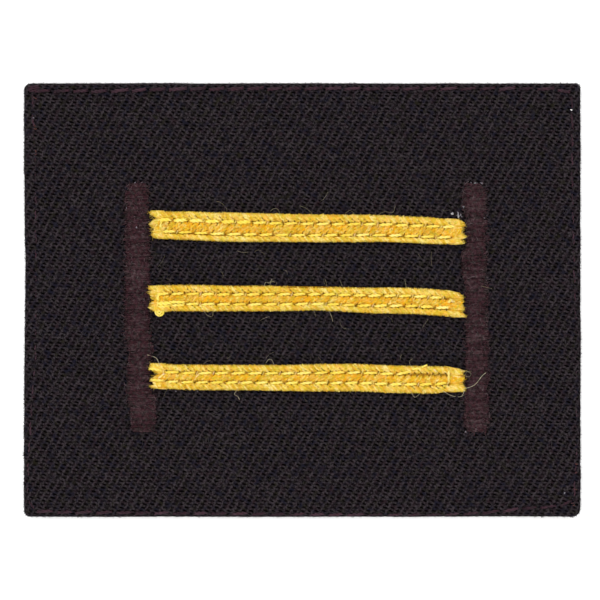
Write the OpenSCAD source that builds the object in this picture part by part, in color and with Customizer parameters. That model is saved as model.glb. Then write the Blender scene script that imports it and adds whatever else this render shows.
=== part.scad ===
// Cloth rank insignia: a turned-edge twill ground with three sewn braids
// between two satin-stitched bars. It lies face up on its turned hem.
// Millimetres. X runs left to right along the braids, Y runs up the insignia,
// and Z rises out of its face from the surface that the hem rests on.

/* [Cloth ground] */
// Width of the ground, along the braids
ground_w = 72; // [68:0.5:78]
// Height of the ground, across the braids
ground_h = 56; // [52:0.5:60]
// Thickness over the turned hem
ground_t = 1.6; // [1.4:0.1:2]
// Width of the cloth turned under to the back
hem_w = 7; // [5:0.5:10]
// How far the back lies sunk inside the hem
hem_step = 0.3; // [0.2:0.05:0.4]

/* [Braids] */
// Length of the longest strand of a braid
braid_l = 40.7; // [36:0.1:41]
// Usual width of a braid
braid_w = 3.5; // [3:0.1:4]
// Height of the two outer ribs above the cloth
braid_t = 0.9; // [0.7:0.05:1.2]
// Height of the middle rib, as a share of the outer ones
middle_rib = 0.85; // [0.7:0.05:1]
// Height of the two sewing channels, as a share of the outer ribs
channel = 0.45; // [0.35:0.05:0.6]
// Length of the loose tuft at a cut rib
tuft = 0.35; // [0.1:0.05:0.5]

/* [Satin bars] */
// Length of a bar, across the braids
bar_l = 32.2; // [28:0.1:36]
// Usual width of a bar
bar_w = 3; // [2.5:0.1:3.1]
// Height of a bar's crown above the cloth
bar_t = 0.6; // [0.4:0.05:0.8]

/* [Hidden] */
$fn = 48;

roll_r = ground_t / 2;      // radius of the folded edge
lift = 0.05;                // gap between the ground and what is sewn to it
braid_x = 0.75;             // the braids' middle, right of the ground's
bar_y = -1;                 // the bars' middle, below the ground's
across_ribs = 4;            // steps across one rib
across_bar = 8;             // steps across a bar
edge_rise = 0.35;           // height of a bar's side edges, as a share of its crown
end_rise = 0.6;             // height of a cut or finished end, as a share of the full height

// Rounding of each corner in plan
// columns: X side, Y side, radius
CORNERS = [
    [-1,  1, 0.9],
    [ 1,  1, 0.9],
    [-1, -1, 1.1],
    [ 1, -1, 1.5]
];

// The three ribs across a braid
// columns: middle and half width as shares of braid_w, height as a share of braid_t
RIBS = [
    [-0.378, 0.122, 1],
    [ 0,     0.122, middle_rib],
    [ 0.378, 0.122, 1]
];

// Each braid, as sections from its left end to its right end
// columns: share of the length, Y of the braid's middle line, width as a share of braid_w
TOP_BRAID = [
    [0,     9.75, 1.03],
    [0.06,  9.75, 1],
    [0.19,  9.5,  1],
    [0.44,  9.4,  1],
    [0.7,   9.4,  0.98],
    [0.83,  9.2,  0.96],
    [0.95,  8.95, 0.98],
    [1,     8.85, 1.03]
];
MIDDLE_BRAID = [
    [0,     0.2,  1.03],
    [0.06,  0.3,  0.98],
    [0.19,  0.35, 0.95],
    [0.57,  0.25, 0.93],
    [0.7,   0.05, 0.95],
    [0.83,  0,    0.96],
    [0.95, -0.4,  0.96],
    [1,    -0.65, 1.03]
];
BOTTOM_BRAID = [
    [0,    -9.9,  1],
    [0.06, -9.9,  0.96],
    [0.32, -10,   0.94],
    [0.57, -10,   0.96],
    [0.83, -10.2, 0.98],
    [0.95, -10.3, 0.98],
    [1,    -10.35, 1]
];

// How much shorter than the longest each rib is cut, lower rib first
// columns: lower rib, middle rib, upper rib
TOP_CUTS = [[0.5, 0.15, 0], [0, 0.3, 0.25]];
MIDDLE_CUTS = [[0.2, 0.1, 0], [0, 0.35, 0.3]];
BOTTOM_CUTS = [[0, 0.35, 0.1], [0, 0.15, 0.2]];

// Each bar, as sections from its lower end to its upper end. Its inner edge keeps clear of the
// braids' ends, and bulges past them, as a gap below 0, only where no braid lies beside it.
// columns: share of the length, gap from the braids' ends to its inner edge, width as a share of bar_w
LEFT_BAR = [
    [0,     -0.3,  0.8],
    [0.05,  -0.65, 1.07],
    [0.1,   -0.55, 1.07],
    [0.15,  -0.5,  1.15],
    [0.165,  0.15, 0.97],
    [0.28,   0.15, 0.93],
    [0.33,  -0.4,  1.05],
    [0.39,   0.15, 1.03],
    [0.75,   0.2,  1.03],
    [0.95,   0.4,  0.95],
    [1,      0.5,  0.75]
];
RIGHT_BAR = [
    [0,      0.3,  0.8],
    [0.05,   0.05, 1.03],
    [0.15,   0.15, 0.92],
    [0.58,   0.15, 0.92],
    [0.63,  -0.35, 1.03],
    [0.72,  -0.35, 1.03],
    [0.74,   0.15, 0.85],
    [0.87,   0.15, 0.85],
    [0.89,  -0.2,  0.95],
    [0.96,  -0.2,  0.95],
    [1,     -0.1,  0.75]
];

// A band between two rows of points, one on top and one below, swept through its sections
// Each section is [top row, bottom row], both running the same way across the band.
function band_points(sections) = [for (s = sections, row = s, p = row) p];

// Point p of row r in section s, where a row holds n points
function band_index(s, r, p, n) = (2 * s + r) * n + p;

// The two triangles of a four-cornered face
function two_triangles(a, b, c, d) = [[a, b, c], [a, c, d]];

function band_faces(count, n) = concat(
    [for (s = [0:count - 2], p = [0:n - 2], t = two_triangles(
        band_index(s, 0, p, n), band_index(s, 0, p + 1, n),
        band_index(s + 1, 0, p + 1, n), band_index(s + 1, 0, p, n))) t],
    [for (s = [0:count - 2], p = [0:n - 2], t = two_triangles(
        band_index(s, 1, p, n), band_index(s + 1, 1, p, n),
        band_index(s + 1, 1, p + 1, n), band_index(s, 1, p + 1, n))) t],
    [for (s = [0:count - 2], t = two_triangles(
        band_index(s, 0, 0, n), band_index(s + 1, 0, 0, n),
        band_index(s + 1, 1, 0, n), band_index(s, 1, 0, n))) t],
    [for (s = [0:count - 2], t = two_triangles(
        band_index(s, 0, n - 1, n), band_index(s, 1, n - 1, n),
        band_index(s + 1, 1, n - 1, n), band_index(s + 1, 0, n - 1, n))) t],
    [for (p = [0:n - 2], t = two_triangles(
        band_index(0, 0, p, n), band_index(0, 1, p, n),
        band_index(0, 1, p + 1, n), band_index(0, 0, p + 1, n))) t],
    [for (p = [0:n - 2], t = two_triangles(
        band_index(count - 1, 0, p, n), band_index(count - 1, 0, p + 1, n),
        band_index(count - 1, 1, p + 1, n), band_index(count - 1, 1, p, n))) t]
);

module band(sections) {
    polyhedron(
        points = band_points(sections),
        faces = band_faces(len(sections), len(sections[0][0])),
        convexity = 6
    );
}

// Height factor of a section: its ends lie lower than its run
function end_factor(s, count) = s == 0 || s == count - 1 ? end_rise : 1;

// Half of a folded edge: a half disc that bulges out of the plane x = 0
module half_roll() {
    intersection() {
        translate([0, roll_r]) circle(roll_r);
        square([roll_r, ground_t]);
    }
}

// Outline of the flat part of the ground, inside the folded edge
module flat_outline() {
    half_w = ground_w / 2;
    half_h = ground_h / 2;
    difference() {
        square([ground_w - ground_t, ground_h - ground_t], center = true);
        for (c = CORNERS)
            translate([c[0] * half_w, c[1] * half_h])
                square(2 * c[2], center = true);
    }
    for (c = CORNERS)
        translate([c[0] * (half_w - c[2]), c[1] * (half_h - c[2])])
            circle(c[2] - roll_r);
}

// Folded edge along one side, from one corner's rounding to the next
// The side runs along +X at y = 0, with the fold bulging to -Y.
module edge_roll(from, to) {
    translate([from, 0, 0])
        rotate([90, 0, 90])
            linear_extrude(to - from)
                mirror([1, 0]) half_roll();
}

// Folded edge round one corner, a quarter turn about the middle of its rounding
module corner_roll(c) {
    translate([c[0] * (ground_w / 2 - c[2]), c[1] * (ground_h / 2 - c[2]), 0])
        rotate([0, 0, c[1] > 0 ? (c[0] > 0 ? 0 : 90) : (c[0] > 0 ? -90 : 180)])
            rotate_extrude(angle = 90)
                translate([c[2] - roll_r, 0]) half_roll();
}

module ground_cloth() {
    half_w = ground_w / 2;
    half_h = ground_h / 2;
    top_left = CORNERS[0][2];
    top_right = CORNERS[1][2];
    bottom_left = CORNERS[2][2];
    bottom_right = CORNERS[3][2];
    color([0.15, 0.13, 0.14])
    difference() {
        union() {
            linear_extrude(ground_t) flat_outline();
            translate([0, -half_h + roll_r, 0])
                edge_roll(-half_w + bottom_left, half_w - bottom_right);
            translate([half_w - roll_r, 0, 0]) rotate([0, 0, 90])
                edge_roll(-half_h + bottom_right, half_h - top_right);
            translate([0, half_h - roll_r, 0]) rotate([0, 0, 180])
                edge_roll(-half_w + top_right, half_w - top_left);
            translate([-half_w + roll_r, 0, 0]) rotate([0, 0, -90])
                edge_roll(-half_h + top_left, half_h - bottom_left);
            for (c = CORNERS) corner_roll(c);
        }
        translate([0, 0, -1])
            linear_extrude(hem_step + 1)
                square([ground_w - 2 * hem_w, ground_h - 2 * hem_w], center = true);
    }
}

// The top of a braid from its lower edge to its upper one
// columns: share of the width, share of the height, number of the rib, how far out on the rib
BRAID_PROFILE = [
    for (r = [0:len(RIBS) - 1], k = [0:across_ribs])
        let (a = 180 - 180 * k / across_ribs, rib = RIBS[r])
            [rib[0] + rib[1] * cos(a), channel + (rib[2] - channel) * sin(a), r, abs(cos(a))]
];

// How far short of the longest strand a profile point is cut
function cut_back(point, cuts) = cuts[point[2]] + tuft * point[3];

function braid_section(row, rise, cuts) = [
    for (layer = [1, 0]) [
        for (p = BRAID_PROFILE)
            let (left = -braid_l / 2 + cut_back(p, cuts[0]), right = braid_l / 2 - cut_back(p, cuts[1]))
                [
                    braid_x + left + row[0] * (right - left),
                    row[1] + p[0] * row[2] * braid_w,
                    layer * p[1] * rise * braid_t
                ]
    ]
];

module braid(rows, cuts) {
    color([0.91, 0.73, 0.29])
    translate([0, 0, ground_t + lift])
        band([for (s = [0:len(rows) - 1])
            braid_section(rows[s], end_factor(s, len(rows)), cuts)]);
}

// side is -1 for the bar on the left and 1 for the one on the right
function bar_section(row, rise, side) =
    let (width = row[2] * bar_w, middle = braid_x + side * (braid_l / 2 + row[1] + width / 2)) [
        for (layer = [1, 0]) [
            for (k = [0:across_bar])
                let (a = 180 * k / across_bar)
                    [
                        middle + cos(a) * width / 2,
                        bar_y + (row[0] - 0.5) * bar_l,
                        layer * (edge_rise + (1 - edge_rise) * sin(a)) * rise * bar_t
                    ]
        ]
    ];

module satin_bar(rows, side) {
    color([0.21, 0.15, 0.17])
    translate([0, 0, ground_t + lift])
        band([for (s = [0:len(rows) - 1])
            bar_section(rows[s], end_factor(s, len(rows)), side)]);
}

module braid_top() { braid(TOP_BRAID, TOP_CUTS); }
module braid_middle() { braid(MIDDLE_BRAID, MIDDLE_CUTS); }
module braid_bottom() { braid(BOTTOM_BRAID, BOTTOM_CUTS); }
module bar_left() { satin_bar(LEFT_BAR, -1); }
module bar_right() { satin_bar(RIGHT_BAR, 1); }

ground_cloth();
braid_top();
braid_middle();
braid_bottom();
bar_left();
bar_right();
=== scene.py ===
# Dresses a cloth rank insignia: woven ground, plaited gold braids, satin bars, seams and loose fibres.
# Lengths in this file are millimetres unless a comment says otherwise, and meshes are made in metres.
import logging
import math
from collections.abc import Callable, Sequence
from dataclasses import dataclass, field
from enum import Enum
from typing import Any

import bpy
import numpy as np
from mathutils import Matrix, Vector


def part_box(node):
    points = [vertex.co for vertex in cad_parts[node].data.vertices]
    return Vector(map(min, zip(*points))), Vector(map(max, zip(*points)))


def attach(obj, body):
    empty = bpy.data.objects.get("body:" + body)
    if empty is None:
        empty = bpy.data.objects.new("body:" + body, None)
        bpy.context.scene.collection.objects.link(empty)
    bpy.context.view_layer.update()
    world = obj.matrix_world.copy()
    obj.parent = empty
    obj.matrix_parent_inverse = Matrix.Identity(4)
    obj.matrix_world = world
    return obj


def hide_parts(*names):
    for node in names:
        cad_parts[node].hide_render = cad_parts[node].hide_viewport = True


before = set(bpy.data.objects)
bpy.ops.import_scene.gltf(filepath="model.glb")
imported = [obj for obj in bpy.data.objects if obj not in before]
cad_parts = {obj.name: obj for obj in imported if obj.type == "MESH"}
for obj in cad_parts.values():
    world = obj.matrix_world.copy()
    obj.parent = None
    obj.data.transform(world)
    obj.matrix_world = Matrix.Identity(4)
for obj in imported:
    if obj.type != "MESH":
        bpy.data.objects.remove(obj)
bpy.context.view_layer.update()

log = logging.getLogger("insignia")
Array = np.ndarray
Node = bpy.types.Node
Piece = bpy.types.Object
Socket = bpy.types.NodeSocket
Tree = bpy.types.NodeTree
# A small table of sizes, whose columns are named beside it.
Rows = Sequence[tuple[float, ...]]
# One millimetre, in metres.
MM = 0.001
# Spacing of the twill's warp ends and of its weft picks, and the ends in one repeat of its weave.
END, PICK, REPEAT = 0.2367, 0.4248, 4
BRAIDS = ("braid_top", "braid_middle", "braid_bottom")
BARS = ("bar_left", "bar_right")


class Axis(Enum):
    """The way along which a flat piece runs."""

    ACROSS = 0
    UP = 1


class Lean(Enum):
    """The way a strand leans as it crosses its rib, seen from the face."""

    FORWARD = 1
    BACKWARD = -1


class Side(Enum):
    """The end of a braid."""

    LEFT = -1
    RIGHT = 1


class Slot(Enum):
    """The record's material slots."""

    GROUND = "ground_twill"
    BRAID = "gold_braid"
    SATIN = "satin_thread"


def linear(code: str) -> tuple[float, float, float, float]:
    """Turn an sRGB hex colour to the linear one that a shader reads.

    Args:
        code: Colour as "#rrggbb".

    Returns:
        Linear red, green, blue and an alpha of 1.
    """
    parts = [int(code[i:i + 2], 16) / 255 for i in (1, 3, 5)]
    parts = [c / 12.92 if c <= 0.04045 else ((c + 0.055) / 1.055) ** 2.4 for c in parts]
    return (parts[0], parts[1], parts[2], 1.0)


def add_node(tree: Tree, kind: str, inputs: dict[str | int, Any] | None = None, **settings: Any) -> Node:
    """Add one shader node with its settings, values and links.

    Args:
        tree: Node tree that gets the node.
        kind: The node's type name, without "ShaderNode".
        inputs: By name or number, a value, a socket to link, or a node whose first live output is linked.
        settings: The node's own properties.

    Returns:
        The new node.
    """
    node = tree.nodes.new(f"ShaderNode{kind}")
    for name, value in settings.items():
        setattr(node, name, value)
    for name, value in (inputs or {}).items():
        if isinstance(value, Node):
            value = next(output for output in value.outputs if output.enabled)
        if isinstance(value, Socket):
            tree.links.new(value, node.inputs[name])
        else:
            node.inputs[name].default_value = value
    return node


def new_material(name: str) -> tuple[bpy.types.Material, Tree]:
    """Make an empty node material.

    Args:
        name: The material's name.

    Returns:
        The material and its node tree.
    """
    material = bpy.data.materials.new(name)
    material.use_nodes = True
    material.node_tree.nodes.clear()
    return material, material.node_tree


def tint(
    tree: Tree, colour: Node | Sequence[float], code: str, value: Node | Socket, low: float, high: float,
    most: float = 1.0,
) -> Node:
    """Blend a colour into that of an sRGB hex code as a value goes from low to high."""
    share = add_node(tree, "MapRange", {"Value": value, "From Min": low, "From Max": high, "To Max": most})
    return add_node(tree, "Mix", {0: share, 6: colour, 7: linear(code)}, data_type="RGBA")


def end_material(tree: Tree, colour: Node, roughness: float, gloss: float, bump: Node | None = None) -> Node:
    """End a material in its shader.

    Args:
        tree: Node tree that gets the nodes.
        colour: The surface's colour.
        roughness: Its roughness.
        gloss: How much it mirrors.
        bump: Its relief, if it has any.

    Returns:
        The shader.
    """
    looks = {"Base Color": colour, "Roughness": roughness, "Specular IOR Level": gloss}
    shader = add_node(tree, "BsdfPrincipled", looks | ({"Normal": bump} if bump else {}))
    add_node(tree, "OutputMaterial", {"Surface": shader})
    return shader


def select_only(*pieces: Piece) -> None:
    """Select these pieces alone, with the first one active.

    Args:
        pieces: Objects to select.
    """
    bpy.ops.object.select_all(action="DESELECT")
    for piece in pieces:
        piece.select_set(True)
    bpy.context.view_layer.objects.active = pieces[0]


def edit_open_edges() -> None:
    """Enter edit mode on the active mesh with its open edges selected."""
    bpy.ops.object.mode_set(mode="EDIT")
    bpy.ops.mesh.select_mode(type="EDGE")
    bpy.ops.mesh.select_all(action="DESELECT")
    bpy.ops.mesh.select_non_manifold()


def read_points(mesh: bpy.types.Mesh) -> Array:
    """Read the places of a mesh's points, in metres."""
    return np.array([point.co for point in mesh.vertices])


def write_points(mesh: bpy.types.Mesh, points: Array) -> None:
    """Move a mesh's points to places in metres."""
    mesh.vertices.foreach_set("co", points.astype(np.float32).ravel())


def read_mark(mesh: bpy.types.Mesh, label: str) -> Array:
    """Read one of a mesh's marks.

    Args:
        mesh: The mesh.
        label: The mark's name.

    Returns:
        A number for each point.
    """
    values = np.zeros(len(mesh.vertices), np.float32)
    mesh.attributes[label].data.foreach_get("value", values)
    return values.astype(float)


def write_mark(mesh: bpy.types.Mesh, label: str, values: Array) -> None:
    """Give a mesh a mark of its own, a number for each point."""
    mark = mesh.attributes.get(label) or mesh.attributes.new(label, "FLOAT", "POINT")
    mark.data.foreach_set("value", values.astype(np.float32))


def box_of(node: str) -> tuple[Any, Any]:
    """Low and high corner of a plain solid."""
    low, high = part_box(node)
    return low / MM, high / MM


def hills(x: float | Array, y: float | Array, step: float, seed: int, knots: int = 64) -> float | Array:
    """Smooth random hills over a plane.

    Args:
        x: Places along X.
        y: Places along Y.
        step: Distance from one knot of the hills to the next.
        seed: Number that picks the hills.
        knots: Knots each way before the hills repeat.

    Returns:
        Heights between -1 and 1.
    """
    height = np.random.default_rng(seed).uniform(-1, 1, (knots, knots))
    gx, gy = x / step, y / step
    ix, iy = np.floor(gx).astype(int), np.floor(gy).astype(int)
    fx, fy = gx - ix, gy - iy
    fx, fy = fx * fx * (3 - 2 * fx), fy * fy * (3 - 2 * fy)
    right, up = (ix + 1) % knots, (iy + 1) % knots
    ix, iy = ix % knots, iy % knots
    near = height[ix, iy] * (1 - fx) + height[right, iy] * fx
    far = height[ix, up] * (1 - fx) + height[right, up] * fx
    return near * (1 - fy) + far * fy


def waves(x: Array, y: Array, rows: Sequence[tuple[float, float, int]]) -> Array:
    """Sum hills of several heights, steps and seeds over a plane."""
    return sum(height * hills(x, y, step, seed) for height, step, seed in rows)


def smooth_route(points: Sequence[Sequence[float]], steps: int = 4) -> Array:
    """Run one smooth line through a few points.

    Args:
        points: Points that the line passes.
        steps: Pieces that each stretch is cut into.

    Returns:
        Points along the line.
    """
    p = np.array(points, float)
    p = np.vstack([2 * p[0] - p[1], p, 2 * p[-1] - p[-2]])
    t = np.linspace(0, 1, steps, endpoint=False)[:, None]
    line = [
        0.5 * (
            2 * b + (c - a) * t + (2 * a - 5 * b + 4 * c - d) * t ** 2 + (3 * b - a - 3 * c + d) * t ** 3
        )
        for a, b, c, d in zip(p, p[1:], p[2:], p[3:])
    ]
    return np.vstack([*line, p[-2]])


@dataclass
class Thread:
    """One yarn, stitch or fibre: a round rod along a route."""

    route: Array
    radius: float | Array
    tone: float = 0.0
    warmth: float = 0.0


def thread_mesh(name: str, threads: Sequence[Thread], sides: int = 6) -> Piece:
    """Build many threads as one mesh, with its tone, warmth and lengthwise place kept for the shader.

    Args:
        name: The new object's name.
        threads: Threads to build.
        sides: Faces round each thread.

    Returns:
        The new object, in metres.
    """
    turn = np.arange(sides) * 2 * math.pi / sides
    points: list[Array] = []
    corners: list[Array] = []
    face_sizes: list[Array] = []
    marks: list[Array] = []
    start = 0
    for thread in threads:
        route = np.asarray(thread.route, float)
        count = len(route)
        way = np.gradient(route, axis=0)
        way /= np.linalg.norm(way, axis=1)[:, None]
        side = np.cross(way[0], (0, 0, 1) if abs(way[0, 2]) < 0.9 else (1, 0, 0))
        side = side - way * (way @ side)[:, None]
        side /= np.linalg.norm(side, axis=1)[:, None]
        rise = np.cross(way, side)
        radius = np.broadcast_to(np.asarray(thread.radius, float), count)[:, None, None]
        rim = side[:, None] * np.cos(turn)[None, :, None] + rise[:, None] * np.sin(turn)[None, :, None]
        points.append((route[:, None] + rim * radius).reshape(-1, 3))
        grid = start + np.arange(count * sides).reshape(count, sides)
        beside = np.roll(grid, -1, axis=1)
        quads = np.stack([grid[:-1], beside[:-1], beside[1:], grid[1:]], -1).reshape(-1)
        corners += [quads, grid[0][::-1], grid[-1]]
        face_sizes += [np.full((count - 1) * sides, 4), np.full(2, sides)]
        length = np.concatenate([[0], np.cumsum(np.linalg.norm(np.diff(route, axis=0), axis=1))])
        mark = np.empty((count * sides, 4))
        mark[:, 0] = thread.tone
        mark[:, 1] = thread.warmth
        mark[:, 2] = np.repeat(length, sides)
        mark[:, 3] = np.tile(1 - np.abs(2 * np.arange(sides) / sides - 1), count)
        marks.append(mark)
        start += count * sides
    sizes, loops = np.concatenate(face_sizes), np.concatenate(corners)
    mesh = bpy.data.meshes.new(name)
    mesh.vertices.add(start)
    write_points(mesh, np.vstack(points) * MM)
    mesh.loops.add(len(loops))
    mesh.loops.foreach_set("vertex_index", loops.astype(np.int32))
    mesh.polygons.add(len(sizes))
    mesh.polygons.foreach_set("loop_start", np.concatenate([[0], np.cumsum(sizes)[:-1]]).astype(np.int32))
    mesh.update(calc_edges=True)
    for label, values in zip(("tone", "warmth", "along", "around"), np.vstack(marks).T):
        write_mark(mesh, label, values)
    mesh.polygons.foreach_set("use_smooth", np.ones(len(mesh.polygons), bool))
    piece = bpy.data.objects.new(name, mesh)
    bpy.context.collection.objects.link(piece)
    return piece


def hand_over(piece: Piece, material: bpy.types.Material, replaces: Sequence[str] = ()) -> None:
    """Give a finished piece its material and its body, hide the plain solids that it stands for, and report
    it.

    Args:
        piece: The piece, in place.
        material: Its finish.
        replaces: Plain solids that it stands for.
    """
    piece.data.materials.clear()
    piece.data.materials.append(material)
    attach(piece, "root")
    if replaces:
        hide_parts(*replaces)
    triangles = sum(len(face.vertices) - 2 for face in piece.data.polygons)
    log.info("%s: %d triangles, %s", piece.name, triangles, material.name)


class Outline:
    """Middle line and width of a flat piece, read off its plain solid at places along it."""

    def __init__(self, node: str, axis: Axis, trim: float = 1.3, stations: int = 160) -> None:
        """Slice the solid.

        Args:
            node: Name of the plain solid.
            axis: The way along which it runs.
            trim: Length left out at each end, where its cut slants.
            stations: Number of slices.
        """
        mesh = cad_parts[node].data
        corners = read_points(mesh) / MM
        edges = np.array([edge.vertices for edge in mesh.edges])
        run, across = axis.value, 1 - axis.value
        self.low, self.high = corners[:, run].min(), corners[:, run].max()
        self.base, self.top = corners[:, 2].min(), corners[:, 2].max()
        self.places = np.linspace(self.low + trim, self.high - trim, stations)
        a, b = corners[edges[:, 0]], corners[edges[:, 1]]
        edge_low, edge_high = [], []
        # The slices lie a hair beside the places, so that none runs through a corner.
        for place in self.places + 1e-4:
            cut = (a[:, run] - place) * (b[:, run] - place) < 0
            share = (place - a[cut, run]) / (b[cut, run] - a[cut, run])
            side = a[cut, across] + share * (b[cut, across] - a[cut, across])
            edge_low.append(side.min())
            edge_high.append(side.max())
        self.edge_low, self.edge_high = np.array(edge_low), np.array(edge_high)

    def middle(self, place: float | Array) -> float | Array:
        """Middle of the piece at a place along it."""
        return np.interp(place, self.places, (self.edge_low + self.edge_high) / 2)

    def width(self, place: float | Array) -> float | Array:
        """Width of the piece at a place along it."""
        return np.interp(place, self.places, self.edge_high - self.edge_low)

    def from_end(self, place: float) -> float:
        """Distance of a place from the nearer end of the piece."""
        return min(place - self.low, self.high - place)


@dataclass(frozen=True)
class TwillFinish:
    """Cotton drill, piece dyed nearly black: a dull ridge, a painted highlight on the crown of each wale, and
    a painted shade in the pit at each tie of its twill.
    """

    ridge: str = "#161215"
    # crest: colour of the pale fibre ends and of the painted highlight on each wale's crown
    crest: str = "#3b3539"
    # pit: a nearly black painted shade for the hollow at each tie
    pit: str = "#010000"
    plum: str = "#261a1e"
    moss: str = "#1e1c12"
    navy: str = "#161622"
    roughness: float = 0.9
    gloss: float = 0.03
    # A pit's reach along its slant and across it, and how far it slants down to the right, in degrees
    pit_long: float = 0.32
    pit_thick: float = 0.14
    pit_slant: float = 18.0
    # How far uneven weaving moves a tie, in ends and in picks, for the whole range of the hills that move it
    drift: tuple[float, float, float] = (1.8, 0.4, 0.0)
    # Hills of each pattern to the millimetre: uneven weaving, fuzzy patches, fibre ends and dye
    uneven: float = 1.1
    fuzz: float = 1.0
    specks: float = 4.2
    dye: float = 1.4
    # Relief too fine for the mesh: its depth and strength
    grain: float = 0.06
    grain_strength: float = 0.7

    def pits(self, tree: Tree, end: Socket, pick: Socket, patches: Node) -> Node:
        """Shade an oval pit that slants down to the right, wherever a pick ties down an end.

        Args:
            tree: Node tree that gets the nodes.
            end: Place across the cloth, counted in ends.
            pick: Place up the cloth, counted in picks.
            patches: Soft patches where fuzz fills the pits.

        Returns:
            How deep in a pit each place lies, 0 to 1.
        """
        row = add_node(tree, "Math", {0: pick}, operation="ROUND")
        rise = add_node(tree, "Math", {0: pick, 1: row}, operation="SUBTRACT")
        step = add_node(tree, "Math", {0: end, 1: row}, operation="SUBTRACT")
        over = add_node(tree, "Math", {0: step, 1: REPEAT / 2, 2: -REPEAT / 2}, operation="WRAP")
        slant = math.radians(self.pit_slant)
        ways = (
            (math.cos(slant), -math.sin(slant), self.pit_long),
            (math.sin(slant), math.cos(slant), self.pit_thick),
        )
        reach = {}
        for number, (sideways, upward, half) in enumerate(ways):
            part = add_node(tree, "Math", {0: rise, 1: upward * PICK / half}, operation="MULTIPLY")
            part = {0: over, 1: sideways * END / half, 2: part}
            reach[number] = add_node(tree, "Math", part, operation="MULTIPLY_ADD")
        reach = add_node(tree, "CombineXYZ", reach)
        reach = add_node(tree, "VectorMath", {0: reach}, operation="LENGTH")
        inside = {"Value": reach, "From Min": 0.7, "From Max": 1.08, "To Min": 1.0, "To Max": 0.0}
        pit = add_node(tree, "MapRange", inside, interpolation_type="SMOOTHSTEP")
        # Fuzz fills some pits and takes away part of their painted shade: each by its own share, and more so
        # in patches.
        column = add_node(tree, "Math", {0: step, 1: 1 / REPEAT}, operation="MULTIPLY")
        column = add_node(tree, "Math", {0: column}, operation="ROUND")
        tie = add_node(tree, "CombineXYZ", {0: column, 1: row})
        luck = add_node(tree, "TexWhiteNoise", {"Vector": tie})
        for value, near, far, least in ((luck, 0.0, 0.7, 0.75), (patches, 0.34, 0.52, 0.7)):
            reach = {"Value": value, "From Min": near, "From Max": far, "To Min": least}
            share = add_node(tree, "MapRange", reach)
            pit = add_node(tree, "Math", {0: pit, 1: share}, operation="MULTIPLY")
        return pit

    def lit_crowns_and_specks(self, tree: Tree, end: Socket, pick: Socket, patches: Node, specks: Node) -> Node:
        """Make the fibre ends pale, and paint a highlight on the crown of each wale, midway between two lines
        of pits.

        Args:
            tree: Node tree that gets the nodes.
            end: Place across the cloth, counted in ends.
            pick: Place up the cloth, counted in picks.
            patches: Soft patches where the crowns carry their painted highlight.
            specks: The fibre ends.

        Returns:
            How pale each place is.
        """
        lit = add_node(tree, "MapRange", {"Value": specks, "From Min": 0.44, "From Max": 0.66, "To Max": 1.1})
        wale = add_node(tree, "Math", {0: end, 1: pick}, operation="SUBTRACT")
        wale = add_node(tree, "Math", {0: wale, 1: REPEAT / 2, 2: -REPEAT / 2}, operation="WRAP")
        wale = add_node(tree, "Math", {0: wale}, operation="ABSOLUTE")
        # Painted highlight: the crown of each wale is drawn paler, in patches.
        crown = add_node(tree, "MapRange", {"Value": wale, "From Min": 1.4, "From Max": 1.9, "To Max": 0.5})
        crown = add_node(tree, "Math", {0: crown, 1: patches}, operation="MULTIPLY")
        return add_node(tree, "Math", {0: lit, 1: crown}, operation="ADD")

    def material(self) -> bpy.types.Material:
        """Build the cloth's material from the threads' own coordinates.

        Returns:
            The material.
        """
        material, tree = new_material("black_cotton_drill")
        place = add_node(tree, "TexCoord").outputs["Object"]
        threads = add_node(tree, "UVMap", uv_map="threads")
        uneven = add_node(tree, "TexNoise", {"Vector": place, "Scale": self.uneven / MM, "Detail": 1.0})
        centred = {0: uneven.outputs["Color"], 1: (0.5, 0.5, 0.5)}
        shift = add_node(tree, "VectorMath", centred, operation="SUBTRACT")
        shift = add_node(tree, "VectorMath", {0: shift, 1: self.drift, 2: threads}, operation="MULTIPLY_ADD")
        split = add_node(tree, "SeparateXYZ", {0: shift})
        end, pick = split.outputs["X"], split.outputs["Y"]
        patches = add_node(tree, "TexNoise", {"Vector": place, "Scale": self.fuzz / MM, "Detail": 2.0})
        specks = add_node(tree, "TexNoise", {"Vector": place, "Scale": self.specks / MM, "Detail": 2.0})
        pit = self.pits(tree, end, pick, patches)
        lit = self.lit_crowns_and_specks(tree, end, pick, patches, specks)
        # The crest colour stands for the pale fibre ends and for the painted highlight on the crowns.
        shades = {0: lit, 6: linear(self.ridge), 7: linear(self.crest)}
        colour = add_node(tree, "Mix", shades, data_type="RGBA")
        # The dye differs a little from fibre to fibre.
        dye = {"Vector": place, "Scale": self.dye / MM, "Detail": 2.0, "W": 3.0}
        dye = add_node(tree, "TexNoise", dye, noise_dimensions="4D")
        dyes = add_node(tree, "SeparateColor", {0: dye.outputs["Color"]})
        for channel, code, high in ((0, self.plum, 0.74), (0, self.moss, 0.26), (1, self.navy, 0.72)):
            colour = tint(tree, colour, code, dyes.outputs[channel], 0.5, high, 0.9)
        # Painted shade: the pits are drawn nearly black where the ties sink in.
        colour = add_node(tree, "Mix", {0: pit, 6: colour, 7: linear(self.pit)}, data_type="RGBA")
        height = add_node(tree, "Math", {0: specks, 1: 0.5, 2: 0.0}, operation="MULTIPLY_ADD")
        height = add_node(tree, "Math", {0: height, 1: pit}, operation="SUBTRACT")
        relief = {"Height": height, "Distance": self.grain * MM, "Strength": self.grain_strength}
        end_material(tree, colour, self.roughness, self.gloss, add_node(tree, "Bump", relief))
        return material


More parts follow.
